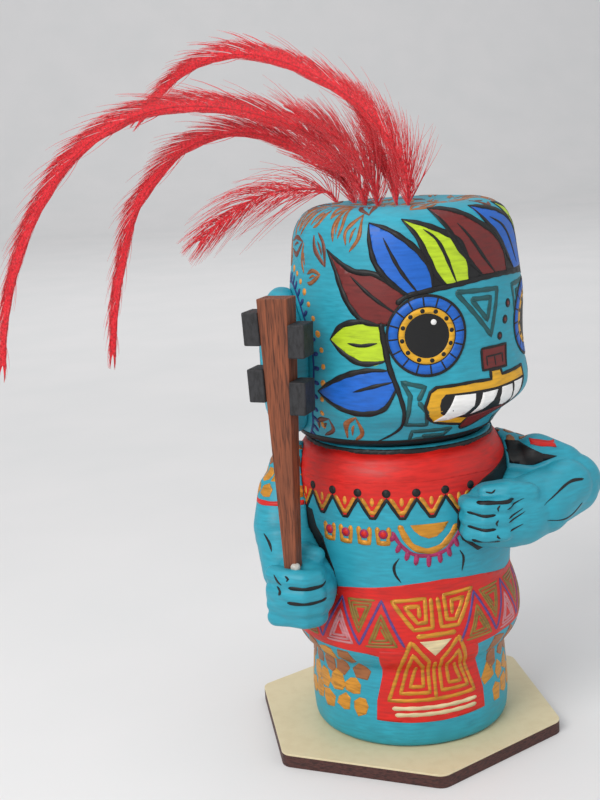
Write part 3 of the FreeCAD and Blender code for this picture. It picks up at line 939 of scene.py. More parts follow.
@dataclass
class Face:
    """The mask painted on the head."""
    skin: Skin
    chart: RoundChart = field(default_factory=lambda: RoundChart(HEAD_MIDDLE, FACE_ANGLE, HEAD_Z, HEAD_R))
    middle: float = -6.0           # the mask's middle line, in degrees from the face's direction
    eye: Point = (-42.4, 23.1)
    eye_radius: float = 8.0
    outline: float = 1.15
    painter: Painter = field(init=False)

    def other(self, point: Point) -> Point:
        """A point mirrored to the face's other side."""
        return 2 * self.middle - point[0], point[1]

    def build(self) -> None:
        """Paint the whole mask."""
        self.painter = Painter("head", self.chart, self.skin.tree, HEAD)
        self.brow()
        for plume in SIDE_PLUMES:
            self.plume(plume)
            self.plume(plume.mirrored(self.middle))
        for plume in CROWN_PLUMES:
            self.plume(plume)
        for side in (lambda p: p, self.other):
            self.round_eye(side(self.eye))
            self.cheek(side)
        self.forehead()
        self.nose()
        self.mouth()
        self.underside()
        self.leaf_marks()
        self.painter.finish()

    def brow(self) -> None:
        """The black ground behind the plumes' roots, and the brow line below it."""
        low = ((-56, 29.5), (-50, 31), (-37, 31.9), (-26.5, 32.4), (-13.5, 33), (0.5, 33.2), (14, 33),
               (28, 32.6),
               (42, 31.4), (46, 30))
        high = ((46, 36), (36, 39.5), (30, 36.8), (13, 38.6), (7, 36.8), (-8, 38.4), (-20, 36.6), (-34, 39),
                (-41, 36.4), (-50, 34.4))
        self.painter.fill(BLACK, low + high, 0)
        self.painter.stroke(BLACK, low, 1.0, 2)

    def plume(self, plume: Plume) -> None:
        """One painted feather with its black outline and vein.

        Args:
            plume: its outline and colour.
        """
        flat = self.painter.chart.flat
        tip = flat(plume.tip)
        upper = curve([tip] + [flat(p) for p in plume.upper])
        lower = curve([tip] + [flat(p) for p in plume.lower])
        self.painter.fill_flat(plume.paint, upper + lower[:0:-1], 1)
        for edge in (upper, lower):
            self.painter.stroke_flat(BLACK, edge[::6] + edge[-1:], self.outline, 3, Touch.POINTED)
        self.painter.stroke(BLACK, plume.vein, 0.75, 3, Touch.POINTED)

    def round_eye(self, centre: Point) -> None:
        """A ringed round eye with ticks, dots and a glint.

        Args:
            centre: on the chart.
        """
        p, r = self.painter, self.eye_radius
        p.disc(BLACK, centre, r, 4)
        p.ring(BLUE, centre, 0.715 * r, 0.93 * r, 5)
        p.ring(YELLOW, centre, 0.54 * r, 0.685 * r, 5)
        middle = self.chart.flat(centre)
        for k in range(16):
            way = Vector((math.cos(math.radians(22.5 * k + 4)), math.sin(math.radians(22.5 * k + 4)), 0))
            p.stroke_flat(BLACK, [middle + way * 0.70 * r, middle + way * 0.97 * r], 0.34, 6, bent=False)
        for k in range(12):
            angle = math.radians(30 * k + 9)
            p.disc(BLACK, centre, 0.44, 6, shift=(0.612 * r * math.cos(angle), 0.612 * r * math.sin(angle)))
        p.disc(WHITE, centre, 0.55, 6, shift=(1.3, 2.6))

    def forehead(self) -> None:
        """Two pairs of nested triangles, one each side of the three dots."""
        for outer in (((-28, 30.9), (-3.4, 30.6), (-8.4, 21.6)), ((33, 30.9), (10, 30.6), (14.5, 21.6))):
            spots = [self.chart.flat(p) for p in outer]
            middle = sum(spots, Vector((0, 0, 0))) / 3
            for inset in (0.0, 0.52):
                loop = [spot.lerp(middle, inset) for spot in spots]
                self.painter.stroke_flat(DEEP_TEAL, loop + loop[:1], 0.95, 1, bent=False)

    def cheek(self, side: Callable[[Point], Point]) -> None:
        """The line from the eye to the jaw, the squared spiral inside it and the jaw's bar.

        Args:
            side: puts a chart point on this side's cheek.
        """
        p = self.painter
        p.stroke(BLACK, [side(q) for q in ((-63.4, 26), (-62, 21), (-60.2, 17), (-56.7, 12.7), (-54.5, 8.8),
                                           (-55.7, 5.7), (-58.7, 4), (-65.7, 2.4), (-74, 1.1))], 1.15, 4,
                 Touch.FADING)
        spiral = ((-47.9, 10.6), (-44.5, 13.2), (-54.6, 14.3), (-51.3, 11.6), (-52.2, 8.8), (-54.4, 5.3),
                  (-42.9, 4.9), (-44, 8.2), (-47.8, 10.4))
        p.stroke(DEEP_TEAL, [side(q) for q in spiral], 0.9, 1, bent=False)
        bar = ((-38.4, 1.9), (-53, 1.3), (-51, 3.4), (-26, 3.2), (-30.6, 1.9), (-45, 2.2))
        p.stroke(DEEP_TEAL, [side(q) for q in bar], 0.85, 1, bent=False)

    def nose(self) -> None:
        """The square maroon nose plate and the three dots above it."""
        p = self.painter
        plate = ((-14.9, 19.3), (2.8, 19.3), (0.8, 15), (-15.3, 15.1))
        p.fill(MAROON, plate, 1)
        p.stroke(BLACK, plate + plate[:1], 0.45, 3, bent=False)
        p.stroke(BLACK, ((-12.2, 15.8), (-12.2, 17.6), (-1.2, 17.6), (-1.6, 15.8)), 0.3, 3, bent=False)
        p.stroke(BLACK, ((-6.9, 17.5), (-7, 15.6)), 0.3, 3, bent=False)
        for dot, radius in (((5, 27.2), 0.85), ((2.3, 24.1), 0.85), ((-2.1, 21.1), 0.75)):
            p.disc(BLACK, dot, radius + 0.05, 1)
            p.disc(MAROON, dot, radius - 0.45, 2)

    def mouth(self) -> None:
        """The open mouth: yellow lip, fangs and a tongue that hangs over the lower lip."""
        p = self.painter
        lip = ((-40, 5.5), (-43.4, 7), (-44.8, 9.3), (-42.4, 12.1), (-39.4, 13), (-30.8, 13.1),
               (-21.4, 13.3),
               (-11.4, 13.2), (-10.9, 14.9), (-4.1, 14.9), (-3.7, 13.7), (8, 13.9), (16.2, 14),
               (15.8, 11.8),
               (10.8, 8.6), (6, 6.2), (-6, 4.4), (-20, 3.9), (-33, 4.8))
        p.fill(YELLOW, lip, 1)
        p.stroke(BLACK, lip + lip[:1], 0.6, 3, bent=False)
        inside = ((-37.2, 7.6), (-38, 9.4), (-37.4, 10.6), (-35.3, 11.5), (-28.2, 11.5), (-8.5, 11.5),
                  (2.7, 11.8),
                  (15, 12), (14.6, 11), (10.4, 8.4), (5.8, 6.3), (-6.4, 5.2), (-19, 5.5), (-27, 6.1),
                  (-33, 6.4))
        p.fill(BLACK, inside, 2)
        for fang in (((-31, 11.1), (-20.8, 11), (-21, 8.5), (-24, 6.8), (-31, 5.8), (-39.6, 5.7),
                      (-35, 7.2), (-32.8, 9.3)),
                     ((-17, 10.9), (-8, 11), (-10.3, 8.9), (-14.6, 7.3), (-20.5, 6.6), (-18.2, 8.4)),
                     ((-5.2, 11.2), (2.6, 11.3), (3.5, 8.3), (0.6, 7.1), (-3.6, 7.5), (-5.8, 9)),
                     ((4.6, 11.5), (13.6, 11.5), (10.3, 9.1), (5.8, 7.4), (4.6, 9.2))):
            p.fill(WHITE, fang, 3)
        tongue = ((3.5, 6.9), (-1, 4.7), (-11.4, 3.1), (-19.8, 3), (-20.2, 5.6), (-14, 6.3), (-5, 6.9))
        p.fill(MAROON, tongue, 4)
        p.stroke(BLACK, tongue[:5], 0.4, 5)

    def underside(self) -> None:
        """The dark line where the head meets the neck."""
        band = [(a, 1.5) for a in range(-180, 181, 6)]
        self.painter.fill(BLACK, band + [(180, 0.15), (-180, 0.15)], 3)

    def leaf_marks(self) -> None:
        """Loose bronze leaf marks over the crown's side, the back and the lower cheeks."""
        rng = random.Random(7)

        def find() -> Vector | None:
            """A random bare spot on the head's side or back, if the try hits one."""
            angle, height = rng.uniform(58, 350) - 66, rng.uniform(2.5, 46)
            return self.chart.flat((angle, height)) if self.bare(angle, height) else None
        strew_leaves(self.painter, rng, 2500, find)

    def bare(self, angle: float, height: float) -> bool:
        """Whether nothing else is painted at a chart point on the head's side or back.

        Args:
            angle: in degrees, on the chart.
            height: in millimetres, on the chart.

        Returns:
            Whether it is bare.
        """
        mirror = abs(angle - self.middle)
        if mirror > 180:
            mirror = 360 - mirror
        for limit, above, below in BARE_ZONES:
            if mirror < limit:
                return height > above or height < below
        return True


def strew_leaves(painter: Painter, rng: random.Random, tries: int,
                 find: Callable[[], Vector | None]) -> None:
    """Paint bronze leaf marks at random spots that keep clear of each other.

    Args:
        painter: who paints them.
        rng: the random numbers that find() draws from too.
        tries: how many spots are tried.
        find: gives the next spot on the flat sheet, or None where it isn't bare.
    """
    taken: list[Vector] = []
    for _ in range(tries):
        spot = find()
        if spot is None or any((spot - other).length < LEAF_GAP for other in taken):
            continue
        taken.append(spot)
        leaf_mark(painter, spot, rng, COPPER if rng.random() < COPPER_SHARE else BRONZE)


def leaf_mark(painter: Painter, spot: Vector, rng: random.Random, paint: Paint) -> None:
    """One open leaf of two curved strokes and a short vein, in a random direction.

    Args:
        painter: who paints it.
        spot: its middle on the flat sheet.
        rng: the random numbers.
        paint: its colour.
    """
    way = rng.uniform(0, math.tau)
    length, bulge = rng.uniform(4.6, 7.4), rng.uniform(1.0, 1.8)
    along = Vector((math.cos(way), math.sin(way), 0))
    side = Vector((-along.y, along.x, 0))
    tip = spot + along * length / 2
    for turn in (-1, 1) if rng.random() < 0.7 else (1,):
        root = spot - along * length * rng.uniform(0.38, 0.55) + side * turn * rng.uniform(0.4, 1.1)
        middle = spot + along * rng.uniform(-0.8, 0.8) + side * turn * bulge * rng.uniform(0.8, 1.2)
        painter.stroke_flat(paint, [root, middle, tip], rng.uniform(0.8, 1.1), 1, Touch.POINTED)
    painter.stroke_flat(paint, [spot - along * length * 0.28, spot + side * 0.25,
                                spot + along * length * 0.15],
                        0.55, 1, Touch.POINTED)


@dataclass
class Crown:
    """Leaf marks on the crown's dished top."""
    skin: Skin
    radius: float = 18.0

    def build(self) -> None:
        """Paint the crown."""
        chart = FlatChart(HEAD_MIDDLE + place(0, 0, HEAD_TOP.z + 20), Vector((1, 0, 0)), Vector((0, 1, 0)))
        painter = Painter("crown", chart, self.skin.tree, HEAD)
        rng = random.Random(21)
        strew_leaves(painter, rng, 900,
                     lambda: polar(self.radius * math.sqrt(rng.random()), rng.uniform(0, 360)))
        painter.finish()


@dataclass
class Ear:
    """One raised ear with its comb of ticks and row of dots on the head beside it."""
    side: int
    head: Skin
    skin: Skin
    angle: float = 129.0
    height: float = 16.2
    half_height: float = 15.6
    half_width: float = 10.6       # of the border round its root
    jewel: float = 8.5             # the grey oval's middle above the ear's own

    def build(self) -> None:
        """Paint the ear and its border."""
        self.border()
        out = polar(1, FACE_ANGLE + self.side * self.angle)
        origin = HEAD_MIDDLE + place(0, 0, HEAD_Z + self.height) + out * 50
        painter = Painter(self.skin.name, FlatChart(origin, Vector((0, 0, 1)).cross(out),
                                                    Vector((0, 0, 1))),
                          self.skin.tree, HEAD, 0.8)
        oval = [place(2.3 * math.cos(t), self.jewel + 3.6 * math.sin(t), 0)
                for t in (math.tau * k / 12 for k in range(12))]
        inner = [place(v.x * 0.68, self.jewel + (v.y - self.jewel) * 0.76, 0) for v in oval]
        painter.fill_flat(DEEP_TEAL, oval, 1, True)
        painter.fill_flat(SLATE, inner, 2, True)
        rim = [place(6.3 * math.cos(t), 11.2 * math.sin(t), 0)
               for t in (math.tau * k / 24 for k in range(25))]
        painter.stroke_flat(DEEP_TEAL, rim, 0.45, 1)
        spiral = []
        for k in range(20):
            radius = 3.6 - 0.16 * k
            spiral.append(place(radius * math.cos(0.55 * k), -3 + 1.4 * radius * math.sin(0.55 * k), 0))
        painter.stroke_flat(NAVY, spiral, 0.5, 2)
        painter.finish()

    def border(self) -> None:
        """The navy line round the ear's root, its ticks toward the face and the orange dots beyond."""
        chart = RoundChart(HEAD_MIDDLE, FACE_ANGLE, HEAD_Z, HEAD_R)
        painter = Painter(self.skin.name + "_border", chart, self.head.tree, HEAD)
        middle = chart.flat((self.side * self.angle, self.height))

        def at(turn: float, extra: float) -> Vector:
            """A spot on the border at a turn in degrees from its top, further out by some millimetres.

            Args:
                turn: in degrees.
                extra: in millimetres.

            Returns:
                The spot on the flat sheet.
            """
            angle = math.radians(turn)
            return middle + Vector((-self.side * (self.half_width + extra) * math.sin(angle),
                                    (self.half_height + 0.9 + extra) * math.cos(angle), 0))
        painter.stroke_flat(NAVY, [at(t, 0) for t in range(-12, 160, 8)], 0.55, 1)
        for k in range(17):
            turn = -6 + 9.6 * k
            painter.stroke_flat(NAVY, [at(turn, 0.1), at(turn, 1.9)], 0.8, 2, Touch.ROUND)
        for k in range(13):
            painter.disc(ORANGE, (0, 0), 0.55 if k % 3 else 0.7, 1, shift=at(10 + 9.8 * k, 3.1)[:2])
        painter.finish()


# ---------------------------------------------------------------- body paint
@dataclass
class Costume:
    """Everything painted on the turned body: collar, pendants, belt, apron and spots."""
    skin: Skin
    chart: RoundChart = field(default_factory=lambda: RoundChart(place(0, 0, 0), -90.0, 0.0, BODY_R))
    collar_teeth: int = 24
    collar_valley: float = 57.6
    collar_tip: float = 53.7
    collar_top: float = 65.2
    spot_radius: float = 2.45
    painter: Painter = field(init=False)

    def build(self) -> None:
        """Paint the whole costume."""
        self.painter = Painter("body", self.chart, self.skin.tree, BODY, 0.6)
        self.neck()
        self.collar()
        self.pendants()
        self.half_sun()
        self.belly()
        self.belt()
        self.apron()
        self.spots()
        self.hollows()
        self.painter.finish()

    def hollows(self) -> None:
        """The black ground behind the two hands."""
        self.painter.fill(BLACK, ((-84, 54), (-66, 53.5), (-62.5, 50.3), (-57.5, 48.3), (-51, 41.8),
                                  (-49.8, 38),
                                  (-53, 34.6), (-66, 33), (-84, 33)), 3)
        self.painter.fill(BLACK, ((75, 63.4), (60, 61.6), (45, 60.2), (34.5, 59.2), (26, 57.7),
                                  (20.6, 56.1),
                                  (16.8, 53.6), (15.8, 50.7), (18.6, 47.8), (27.9, 44.8), (42, 45.6),
                                  (56, 50),
                                  (70, 58)), 4)

    def neck(self) -> None:
        """The black band round the neck."""
        top = [(a, NECK_TOP_Z - 0.35) for a in range(-180, 181, 5)]
        low = [(a, NECK_TOP_Z - 1.3) for a in range(180, -181, -5)]
        self.painter.fill(BLACK, top + low, 5)
        chart = FlatChart(place(0, 0, 90), Vector((1, 0, 0)), Vector((0, 1, 0)))
        above = Painter("neck", chart, self.skin.tree, BODY)
        above.ring(BLACK, (0, 0), 16.5, 19.7, 3)
        above.ring(RED, (0, 0), 19.6, 22.6, 1)
        above.finish()

    def collar(self) -> None:
        """The red collar with its zigzag hem, dots and gold strokes."""
        p = self.painter
        pitch = 360 / self.collar_teeth
        hem: list[Point] = []
        for k in range(self.collar_teeth):
            start = -180 + 0.5 * pitch + pitch * k - 4.6
            hem += [(start - 0.5 * pitch, self.collar_valley), (start - 1.2, self.collar_tip),
                    (start + 1.2, self.collar_tip)]
        hem.append((hem[0][0] + 360, self.collar_valley))
        top = [(hem[-1][0] - 15 * k, self.collar_top) for k in range(24)] + [(hem[0][0], self.collar_top)]
        p.fill(RED, hem + top, 0)
        p.stroke(BLACK, hem, 0.62, 2, bent=False)
        for k in range(self.collar_teeth):
            tip = hem[3 * k + 1][0] + 1.2
            valley = tip - 0.5 * pitch
            p.disc(BLACK, (valley, 58.8), 0.85, 2)
            high = self.collar_valley + 0.2
            p.stroke(GOLD, ((valley + 1.7, high), (tip - 1.1, 54.8), (tip + 1.1, 54.8),
                            (valley + pitch - 1.7, high)), 0.85, 1, Touch.ROUND, False)
            p.disc(ORANGE, (tip, 57.0), 0.42, 1, 2.1)

    def pendants(self) -> None:
        """Four gold cups with a red bead in each."""
        for middle in (-52.2, -42, -31.8, -22):
            cup = ((middle - 2.9, 51.9), (middle - 2.5, 48.6), (middle + 2.5, 48.5), (middle + 2.9, 51.9))
            self.painter.stroke(GOLD, cup, 0.95, 1, Touch.ROUND, False)
            self.painter.disc(MAGENTA, (middle, 50.4), 0.95, 2)
            self.painter.disc(RED, (middle, 50.4), 0.6, 3)

    def half_sun(self) -> None:
        """The gold half sun with purple rays on the chest."""
        p = self.painter
        p.fill(GOLD, ((-8.4, 52.2), (11.4, 52.2), (8.4, 50.6), (4.8, 49.5), (0.6, 49.2), (-3.6, 49.9),
                      (-6.6, 51)), 1)
        arc = ((-13.8, 52.3), (-10.6, 49.4), (-6.6, 47.5), (0.6, 46.6), (7.4, 47.4), (12.4, 49.3),
               (16.2, 51.4))
        p.stroke(GOLD, arc, 1.25, 1)
        band = ((-17.4, 51), (-14.2, 48.6), (-8.2, 46.3), (0.6, 45.6), (8.8, 46.3), (14.4, 48.4),
                (18.4, 50.4))
        p.stroke(MAGENTA, band, 0.75, 1)
        for root, tip in (((-16.4, 50.4), (-18.2, 49)), ((-13.6, 48.4), (-15.8, 46.6)),
                          ((-9.8, 46.9), (-11.2, 44.9)),
                          ((-5.6, 46.1), (-6.6, 43.8)), ((0.4, 45.7), (0, 43.2)),
                          ((5.8, 45.9), (6.2, 43.8)),
                          ((10.2, 46.9), (11.6, 44.8)), ((14.2, 48.6), (16, 46.6)),
                          ((17, 50), (19.2, 48.6))):
            p.stroke(MAGENTA, (root, tip), 0.9, 2)

    def belly(self) -> None:
        """The two curved belly lines."""
        self.painter.stroke(BLACK, ((-14.5, 45.4), (-17.2, 43.8), (-16.9, 42), (-14.2, 40.2)), 0.55, 1,
                            Touch.POINTED)
        self.painter.stroke(BLACK, ((16.9, 45.8), (19, 44), (18, 41.2)), 0.5, 1, Touch.POINTED)

    def belt(self) -> None:
        """The red belt round the hips with its row of nested triangles."""
        p = self.painter
        top = ((-180, 38.2), (-120, 38), (-56, 37.7), (-41, 38.5), (-24, 39.1), (-8.5, 39.8), (7.4, 40.2),
               (30, 39.4),
               (55, 37.6), (110, 38), (180, 38.2))
        low = ((180, 25.3), (110, 25.4), (42, 26), (22.7, 25.2), (0, 24.6), (-26, 24.4), (-33, 25),
               (-50, 25.2),
               (-110, 25.3), (-180, 25.3))
        p.fill(RED, top + low, 0)
        cells, start, end = 15, 14.0, 346.3
        pitch = (end - start) / cells
        flat = self.chart.flat
        for k in range(cells):
            left = start + k * pitch
            left -= 360 if left > 180 else 0
            peak = left + 0.5 * pitch
            p.stroke(PURPLE, ((left, 26.9), (peak, 36.2), (left + pitch, 26.9)), 0.5, 2, bent=False)
            up_paint, down_paint = (OLIVE, PINK) if k % 2 == 0 else (PINK, OLIVE)
            self.nested(up_paint, [flat(p) for p in ((left + 2.6, 26.7), (left + pitch - 2.6, 26.7),
                                                     (peak, 34.6))])
            if k < cells - 1:
                edge = left + pitch
                self.nested(down_paint if k % 2 else OLIVE,
                            [flat((edge + 8.2, 36.3)), flat((edge - 8.2, 36.3)), flat((edge, 28.6))])

    def nested(self, paint: Paint, corners: Sequence[Vector]) -> None:
        """A triangle drawn as one line that winds inward.

        Args:
            paint: its colour.
            corners: on the flat sheet.
        """
        middle = sum(corners, Vector((0, 0, 0))) / 3
        line = [corners[k % 3].lerp(middle, 0.045 + 0.085 * k) for k in range(9)]
        self.painter.stroke_flat(paint, line, 0.5, 1, bent=False)

    def apron(self) -> None:
        """The red apron with squared spirals, a cream triangle and two bars."""
        p = self.painter
        p.fill(RED, ((-26.5, 25.8), (-27.5, 19), (-31, 13.4), (-31.5, 9.2), (-11.6, 8.9), (5.6, 8.9),
                     (34, 9.2),
                     (33.6, 13.6), (29.7, 19.5), (23.5, 25.8)), 1)
        lines = (
            ((0.5, 36.5), (0, 30.7), (-9, 30.5), (-19.5, 36.1), (-2.5, 36.5), (-3, 31.9), (-7, 31.8),
             (-13, 35),
             (-6, 35.1), (-6, 32.8)),
            ((4, 36.5), (4.4, 30.7), (13, 30.6), (24, 37), (7.5, 36.8), (7.5, 32), (12, 31.8), (18, 35.6),
             (11.3, 35.5), (10.5, 32.9)),
            ((-10.5, 28), (-1.8, 23), (-1, 15.3), (-17.5, 15.3), (-10, 25), (-4.7, 21.4), (-4.5, 16.7),
             (-12, 16.7),
             (-8, 21.5)),
            ((12.6, 28.2), (4.6, 23.4), (6, 15.5), (22.5, 15.4), (13, 25), (8.8, 21.6), (10.4, 16.9),
             (17.8, 16.8),
             (13, 21.5)),
            ((-10.5, 28.2), (-24.2, 13.7), (27, 13.9), (12.6, 28.4)),
            ((1.5, 22.8), (2.4, 14)),
        )
        for line in lines:
            p.stroke(GOLD, line, 0.78, 2, bent=False)
        p.stroke(GOLD, ((-8, 29.1), (11.5, 29.3)), 0.95, 2)
        p.fill(CREAM, ((-6.5, 28), (9, 28), (1, 24.5)), 2)
        for left, right, z in ((-22.5, 28, 12), (-21, 27.5, 10.6)):
            p.stroke(CREAM, ((left, z), (right, z + 0.1)), 0.85, 2)

    def spots(self) -> None:
        """Gold spots round the drum beside the apron, with the upper rows in darker bronze as a painted
        reflection of the same gold paint.
        """
        rng = random.Random(5)
        # painted reflection: the two upper rows get bronze where the gold paint's metallic reflection turns
        # browner, and the two lower rows stay gold
        rows_with_painted_reflection = ((23.2, BRONZE, 24), (19.4, BRONZE, 24), (15.4, GOLD, 24), (11.4, GOLD, 24))
        for row, (height, paint, count) in enumerate(rows_with_painted_reflection):
            for k in range(count):
                angle = 39 + (286 * (k + 0.5 * (row % 2) + rng.uniform(-0.12, 0.12))) / count
                chosen = GOLD if rng.random() < 0.15 else paint
                middle = (angle - 360 if angle > 180 else angle, height + rng.uniform(-0.5, 0.5))
                spot_on(self.painter, self.chart.flat(middle), rng, chosen, self.spot_radius)


def spot_on(painter: Painter, spot: Vector, rng: random.Random, paint: Paint, size: float) -> None:
    """Dab an uneven spot with blunt corners on the flat sheet.

    Args:
        painter: who paints it.
        spot: its middle on the flat sheet.
        rng: the random numbers.
        paint: its colour.
        size: about its radius, in millimetres.
    """
    corners = rng.randint(5, 7)
    turn = rng.uniform(0, math.tau)
    line = []
    for k in range(corners):
        angle = turn + math.tau * (k + rng.uniform(-0.22, 0.22)) / corners
        line.append(spot + Vector((math.cos(angle), math.sin(angle), 0)) * size * rng.uniform(0.72, 1.12))
    painter.fill_flat(paint, line, 1)


# ---------------------------------------------------------------- arms
@dataclass
class RightArm:
    """The arm that holds the club: shoulder, elbow and a fist with three fingers and a thumb."""
    knuckle_z: tuple[float, ...] = (42.8, 39.6, 36.4, 33.6)
    finger_r: float = 1.95
    painter: Painter = field(init=False)

    def build(self) -> None:
        """Model the arm and paint it."""
        mesh = cad_copy("right_arm")
        for z in self.knuckle_z:
            sink = 0.4 * max(0.0, 38.5 - z)
            chain(mesh, [place(-30.6, -16.5, z), place(-28.4 + 0.3 * sink, -19.8 + sink, z),
                         place(-25.2, -21.4 + sink, z - 0.2), place(-22.5, -20.6 + sink, z - 0.4),
                         place(-21.8, -18.0, z - 0.4)],
                  [self.finger_r, self.finger_r, self.finger_r, 1.85, 1.7])
        chain(mesh, [place(-27, -10.5, 44.4), place(-23.8, -12.7, 45.4), place(-21.4, -14.6, 45.2)],
              [2.6, 2.3, 1.8])
        limb(mesh, polar(25.6, 180, 55), 5.6, polar(27.2, 186, 48.5), 5.9)
        limb(mesh, polar(27.2, 188, 46), 5.7, polar(29.2, 200, 41), 4.9)
        skin = Skin("right_arm_sculpted", ("right_arm",), BODY, 0.36, 3, 0.05)
        skin.build(mesh)
        chart = FlatChart(place(0, -70, 0), Vector((1, 0, 0)), Vector((0, 0, 1)))
        self.painter = Painter("right_arm", chart, skin.tree, BODY, 0.7)
        self.lines()
        self.sleeve(skin)
        self.painter.finish()

    def lines(self) -> None:
        """Black lines between the fingers, at the knuckles and down the arm."""
        p = self.painter
        p.stroke(BLACK, ((-28.4, 41.3), (-25, 41.1), (-22.2, 41.1), (-20.6, 41.3)), 0.8, 1)
        p.stroke(BLACK, ((-28.8, 38.2), (-26, 37.9), (-23, 37.9), (-20.8, 38.2)), 0.75, 1)
        p.stroke(BLACK, ((-31.2, 48.5), (-30.4, 47), (-30.2, 45.6)), 0.5, 1, Touch.POINTED)
        p.stroke(BLACK, ((-30.9, 43.6), (-30.3, 42.4), (-29.7, 41.8)), 0.45, 1, Touch.POINTED)
        p.stroke(BLACK, ((-28.9, 43.8), (-28.4, 43.3), (-28.7, 42.8)), 0.5, 1)
        p.stroke(BLACK, ((-30.4, 41.2), (-30, 40.4), (-30.3, 39.6)), 0.45, 1)

    def sleeve(self, skin: Skin) -> None:
        """The spotted sleeve and its red hem round the upper arm.

        Args:
            skin: the arm's.
        """
        chart = RoundChart(polar(21.9, 176), 180.0, 0.0, 7.0)
        painter = Painter("sleeve_right", chart, skin.tree, BODY, 0.7)
        hem = [(a, 54.2 + 0.25 * math.sin(math.radians(a))) for a in range(-110, 111, 10)]
        painter.stroke(RED, hem, 0.9, 1)
        rng = random.Random(3)
        for row in range(4):
            for k in range(8):
                spot = chart.flat((-92 + 25 * k + 12 * (row % 2), 56.6 + 2.9 * row))
                spot_on(painter, spot, rng, GOLD if row < 2 else BRONZE, 1.5)
        painter.finish()


@dataclass
class LeftArm:
    """The arm bent across the chest, with a closed fist."""
    finger_z: tuple[float, ...] = (55.9, 53.0, 50.1)
    finger_r: float = 1.7
    painter: Painter = field(init=False)

    def build(self) -> None:
        """Model the arm and paint it."""
        mesh = cad_copy("left_arm")
        for z in self.finger_z:
            chain(mesh, [place(14.6, -27.4, z + 0.2), place(10.8, -27.0, z), place(8.4, -24.6, z - 0.2),
                         place(8.2, -21.6, z - 0.2)],
                  [self.finger_r, self.finger_r, self.finger_r, 1.5])
        chain(mesh, [place(20.5, -24.6, 57.0), place(16.2, -25.2, 58.0), place(11.9, -24.4, 58.2)],
              [2.3, 2.1, 1.55])
        limb(mesh, place(27.5, -8.5, 60.0), 4.9, place(32.5, -10.0, 57.6), 4.9)
        limb(mesh, place(31.5, -15.5, 55.2), 5.4, place(25.0, -20.4, 52.6), 5.6)
        skin = Skin("left_arm_sculpted", ("left_arm",), BODY, 0.36, 3, 0.05)
        skin.build(mesh)
        chart = FlatChart(place(0, -70, 0), Vector((1, 0, 0)), Vector((0, 0, 1)))
        self.painter = Painter("left_arm", chart, skin.tree, BODY, 0.7)
        self.lines()
        self.painter.finish()
        self.shoulder(skin)

    def lines(self) -> None:
        """Black lines between the fingers, at the knuckles, tendons and muscles, and in the crook."""
        p = self.painter
        fade = Touch.FADING
        p.fill(BLACK, ((23.8, 63.6), (25.6, 62.6), (27.4, 61.7), (30.4, 61.0), (27.6, 60.2), (25.6, 59.4),
                       (24.2, 59.3), (21.8, 59.6), (18.5, 60.0), (14.5, 60.2), (13.5, 61.2), (16, 62.8),
                       (20, 64)), 3)
        p.stroke(RED, ((23.9, 64.2), (25.6, 63.9), (29.8, 63.2), (32.9, 62.9)), 1.0, 4)
        for z in (54.5, 51.6):
            p.stroke(BLACK, ((12.6, z - 0.1), (10.2, z - 0.2), (7.6, z + 0.3)), 0.6, 1)
        p.stroke(BLACK, ((13.4, 48.9), (10.6, 48.6), (8.2, 49.2)), 0.6, 1)
        p.stroke(BLACK, ((16.7, 57.0), (13.6, 56.9), (10.6, 57.0), (9.2, 56.9)), 0.6, 3)
        p.stroke(BLACK, ((11.5, 58.5), (12.6, 58.3), (13.3, 58.9)), 0.35, 1)
        for low, high in (((13.1, 55.2), (13.4, 56.4)), ((12.8, 52.2), (13.0, 53.4)),
                          ((13.3, 49.6), (12.8, 50.4))):
            p.stroke(BLACK, (low, ((low[0] + high[0]) / 2 - 0.3, (low[1] + high[1]) / 2), high), 0.42, 1)
        for start, end in (((14.9, 55.4), (18.9, 56.8)), ((15.1, 53.5), (18.4, 55.0)),
                           ((15.1, 52.7), (18.8, 54.4)), ((15.4, 50.8), (18.2, 52.0))):
            p.stroke(BLACK, (start, end), 0.34, 1, fade)
        p.stroke(BLACK, ((33.8, 57.4), (30.6, 57.6), (26.8, 56.4), (23.3, 54.6)), 0.5, 1, fade)
        p.stroke(BLACK, ((33.2, 52.6), (30.8, 51.2), (27.8, 50.9), (23.8, 51.4)), 0.42, 1, fade)

    def shoulder(self, skin: Skin) -> None:
        """The bronze spots on the shoulder's top.

        Args:
            skin: the arm's.
        """
        chart = FlatChart(place(0, 0, 100), Vector((1, 0, 0)), Vector((0, 1, 0)))
        painter = Painter("sleeve_left", chart, skin.tree, BODY, 0.7)
        rng = random.Random(13)
        for x in (20.8, 23.4, 26.0):
            for y in (-7.2, -4.2, -1.2, 1.8):
                spot_on(painter, place(x + 0.4 * y / 3, y, 0), rng, BRONZE, 1.1)
        painter.finish()


